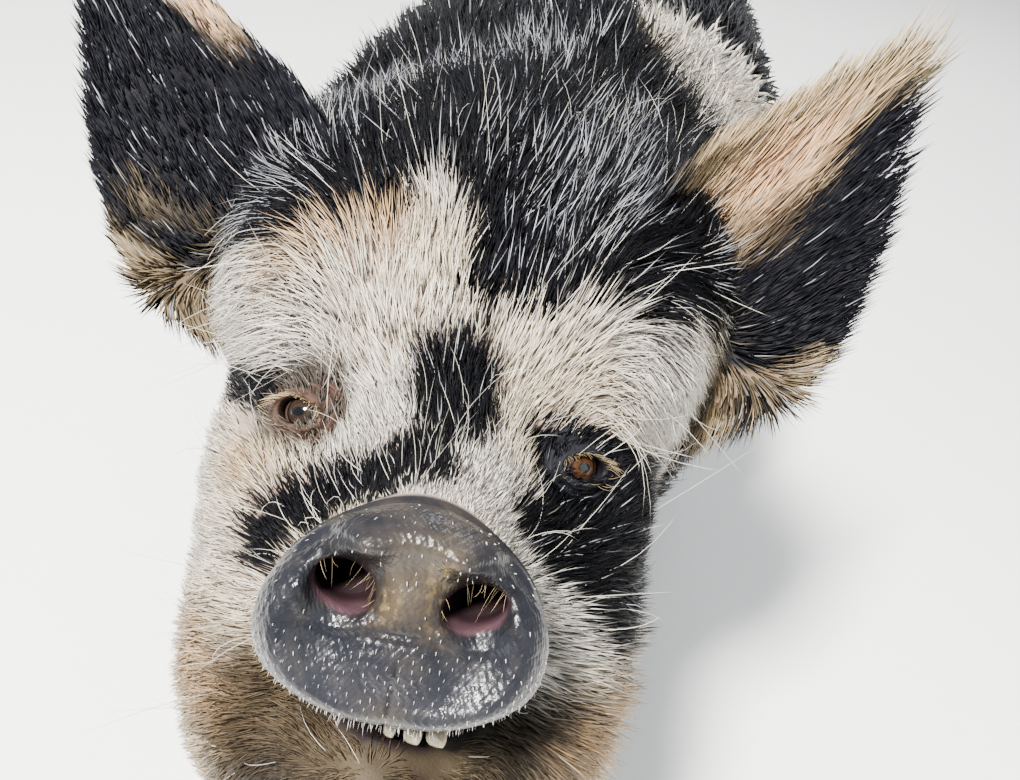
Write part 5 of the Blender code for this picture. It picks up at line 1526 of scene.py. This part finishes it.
def bristled(name, path, radii, colour, count, length, unwrap, seed, tuft=0.0):
    """Hair along a tube, longer towards its end where it has a tuft."""
    rng = np.random.default_rng(seed)
    place = rng.random(count) ** (1.0 - 0.45 * (tuft > 0))
    places = np.linspace(0, 1, len(path))

    def along(shares):
        shares = np.clip(shares, 0, 1)
        return np.stack([np.interp(shares, places, path[:, n]) for n in range(3)], 1)

    down = unit(along(place + 0.02) - along(place - 0.02))
    angle = rng.uniform(0, 2 * np.pi, count)
    side = unit(np.cross(down, (0.31, 0.12, 0.94)))
    outward = np.cos(angle)[:, None] * side + np.sin(angle)[:, None] * np.cross(down, side)
    roots = along(place) + outward * (np.interp(place, places, radii) - 0.0005)[:, None]
    lengths = (length + tuft * ease(place, 0.55, 0.95)) * rng.uniform(0.6, 1.15, count)
    stations = np.linspace(0, 1, 4)[None, :, None]
    reach = lengths[:, None, None]
    paths = roots[:, None] + unit(down + 0.30 * outward)[:, None] * reach * stations
    paths += (np.array((0, 0, -0.25)) - 0.18 * outward)[:, None] * reach * stations**2
    paths[..., 2] = np.maximum(paths[..., 2], 0.05)
    paths = clump(paths, 0.08, 0.5, rng)
    colours = colour * rng.uniform(0.6, 1.3, (count, 1))
    widths = (0.0009 + 0.0006 * (tuft > 0)) * rng.uniform(0.6, 1.2, count)
    low, high = colours * 0.6, np.minimum(colours * 1.1, 0.9)
    return coat_pieces(name, 4, paths, widths, outward, low, high, unwrap, np.arange(count))


def spread_over(path, values):
    """The values spread evenly along a path."""
    return np.interp(np.linspace(0, 1, len(path)), np.linspace(0, 1, len(values)), values)


def tail_shape():
    path = smooth_path(TAIL_PATH, 6)
    return path, 0.82 * spread_over(path, TAIL_RADII)


def tassel_shape(name):
    """The path of a tassel, in its node's own box and bending a little."""
    low, high = box_of(f"tassel_{name}")
    top = np.array((0.5 * (low[0] + high[0]), 0.5 * (low[1] + high[1]), high[2] + 0.026))
    heights = np.array(TASSEL_HEIGHTS)
    scale = (top[2] - low[2]) / -heights[-1]
    sway = 0.0012 * np.sin(heights * 90), 0.001 * np.sin(heights * 60)
    path = smooth_path(top + np.stack([*sway, heights * scale], 1), 4)
    return path, spread_over(path, TASSEL_RADII)


def tube_piece(name, path, radii, colour, seed):
    folds = 1 + 0.02 * np.sin(np.arange(len(path)) * 1.7)
    made = loft(name, tube_rings(path, radii * folds, 40))
    paint(made, colour * (1 + 0.25 * waves(points_of(made), 260, seed))[:, None])
    made.data.materials.append(SKIN)
    return made


def carry(piece, slot, *nodes):
    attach(piece, "root")
    if nodes:
        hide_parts(*nodes)


# The camera, the lights and the floor.


def camera():
    """Close in front of the snout, looking down along the head as the photograph does."""
    sine, cosine = math.sin(CAMERA_YAW), math.cos(CAMERA_YAW)
    ahead, right, up = Vector((sine, cosine, 0)), Vector((cosine, -sine, 0)), Vector((0, 0, 1))
    sine, cosine = math.sin(CAMERA_ROLL), math.cos(CAMERA_ROLL)
    turn = Matrix((cosine * right + sine * up, cosine * up - sine * right, -ahead)).transposed()
    made = bpy.data.objects.new("camera", bpy.data.cameras.new("camera"))
    bpy.context.scene.collection.objects.link(made)
    made.matrix_world = (Matrix(HEAD_TURN.tolist()) @ turn).to_4x4()
    made.location = from_head(np.array(CAMERA_AT)) + PLACE
    made.data.sensor_width = SENSOR
    made.data.lens = SENSOR * FOCAL_PIXELS / PHOTO_WIDTH
    made.data.clip_start = 0.01
    bpy.context.scene.camera = made


def light(name, place, aim, size, power, colour=(1, 1, 1)):
    made = bpy.data.objects.new(name, bpy.data.lights.new(name, "AREA"))
    made.data.size = size
    made.data.energy = power
    made.data.color = colour
    made.location = place
    made.rotation_euler = (Vector(aim) - Vector(place)).to_track_quat("-Z", "Y").to_euler()
    bpy.context.scene.collection.objects.link(made)


def stage():
    corners = [(x * FLOOR_REACH, y * FLOOR_REACH, 0) for x, y in ((-1, -1), (1, -1), (1, 1), (-1, 1))]
    floor = mesh_of("floor", corners, [[(0, 1, 2, 3)]])
    paint(floor, np.tile((0.86, 0.86, 0.85), (4, 1)))
    floor.data.materials.append(material("floor", 0.75, 0.05, 40.0, vary=0.02, spread=0.05))
    world = bpy.data.worlds.new("world")
    bpy.context.scene.world = world
    world.use_nodes = True
    sky = world.node_tree.nodes["Background"].inputs
    sky["Color"].default_value = (0.90, 0.95, 1.0, 1)
    sky["Strength"].default_value = 0.65
    light("key", (-0.9, -1.5, 3.0), (0, -0.4, 0.45), 0.5, 700, (1.0, 0.97, 0.93))
    light("fill", (2.2, -1.2, 1.6), (0, 0, 0.4), 2.0, 25, (0.9, 0.95, 1.0))
    light("back", (0.5, 2.6, 2.4), (0, 0, 0.4), 1.2, 70)


SKIN = material("bare_skin", 0.70, 0.5, 900.0, specular=0.10)
COAT = material("hair", 0.50, 0.1, 1500.0, specular=0.07)
skin_piece, snout_piece = make_skin()
ears = {name: make_ear(name) for name in SIDES}
tail_path, tail_radii = tail_shape()
tail = tube_piece("tail_skin", tail_path, tail_radii, BLACK * 2.0, 80)
unwrap = make_unwrap(*ears.values(), tail)
carry(skin_piece, "coat", *FLESH_NODES)
carry(snout_piece, "snout_skin", "snout")
carry(tail, "coat", "tail")
for piece in head_coat(skin_piece, unwrap) + body_coat(skin_piece, unwrap):
    carry(piece, "coat")
horn = material("horn", 0.42, 0.35, 700.0)
for name in SIDES:
    carry(ears[name], "coat", f"ear_{name}")
    carry(make_eye(name), "eye", f"eye_{name}")
    path, radii = tassel_shape(name)
    carry(tube_piece(f"tassel_skin_{name}", path, radii, PINK * 0.8, 81), "coat", f"tassel_{name}")
    hair = bristled(f"tassel_hair_{name}", path, radii, WHITE, TASSEL_TUFTS, 0.009, unwrap, 82)
    for piece in hair + ear_coat(name, unwrap):
        carry(piece, "coat")
tail_hair = bristled("tail_hair", tail_path, tail_radii, BLACK * 2.5, TAIL_TUFTS, 0.022, unwrap, 83, 0.040)
for piece in tail_hair:
    carry(piece, "coat")
for piece in whiskers(skin_piece, unwrap) + lashes(unwrap) + stubble(snout_piece, unwrap):
    carry(piece, "coat")
for tooth in make_teeth():
    carry(tooth, "hoof")
for end in ("front", "hind"):
    for name in SIDES:
        for toe in ("outer", "inner"):
            for kind, make in (("hoof", make_hoof), ("dewclaw", make_dewclaw)):
                node = f"{kind}_{end}_{name}_{toe}"
                piece = make(node)
                piece.data.materials.append(horn)
                carry(piece, "hoof", node)
camera()
stage()
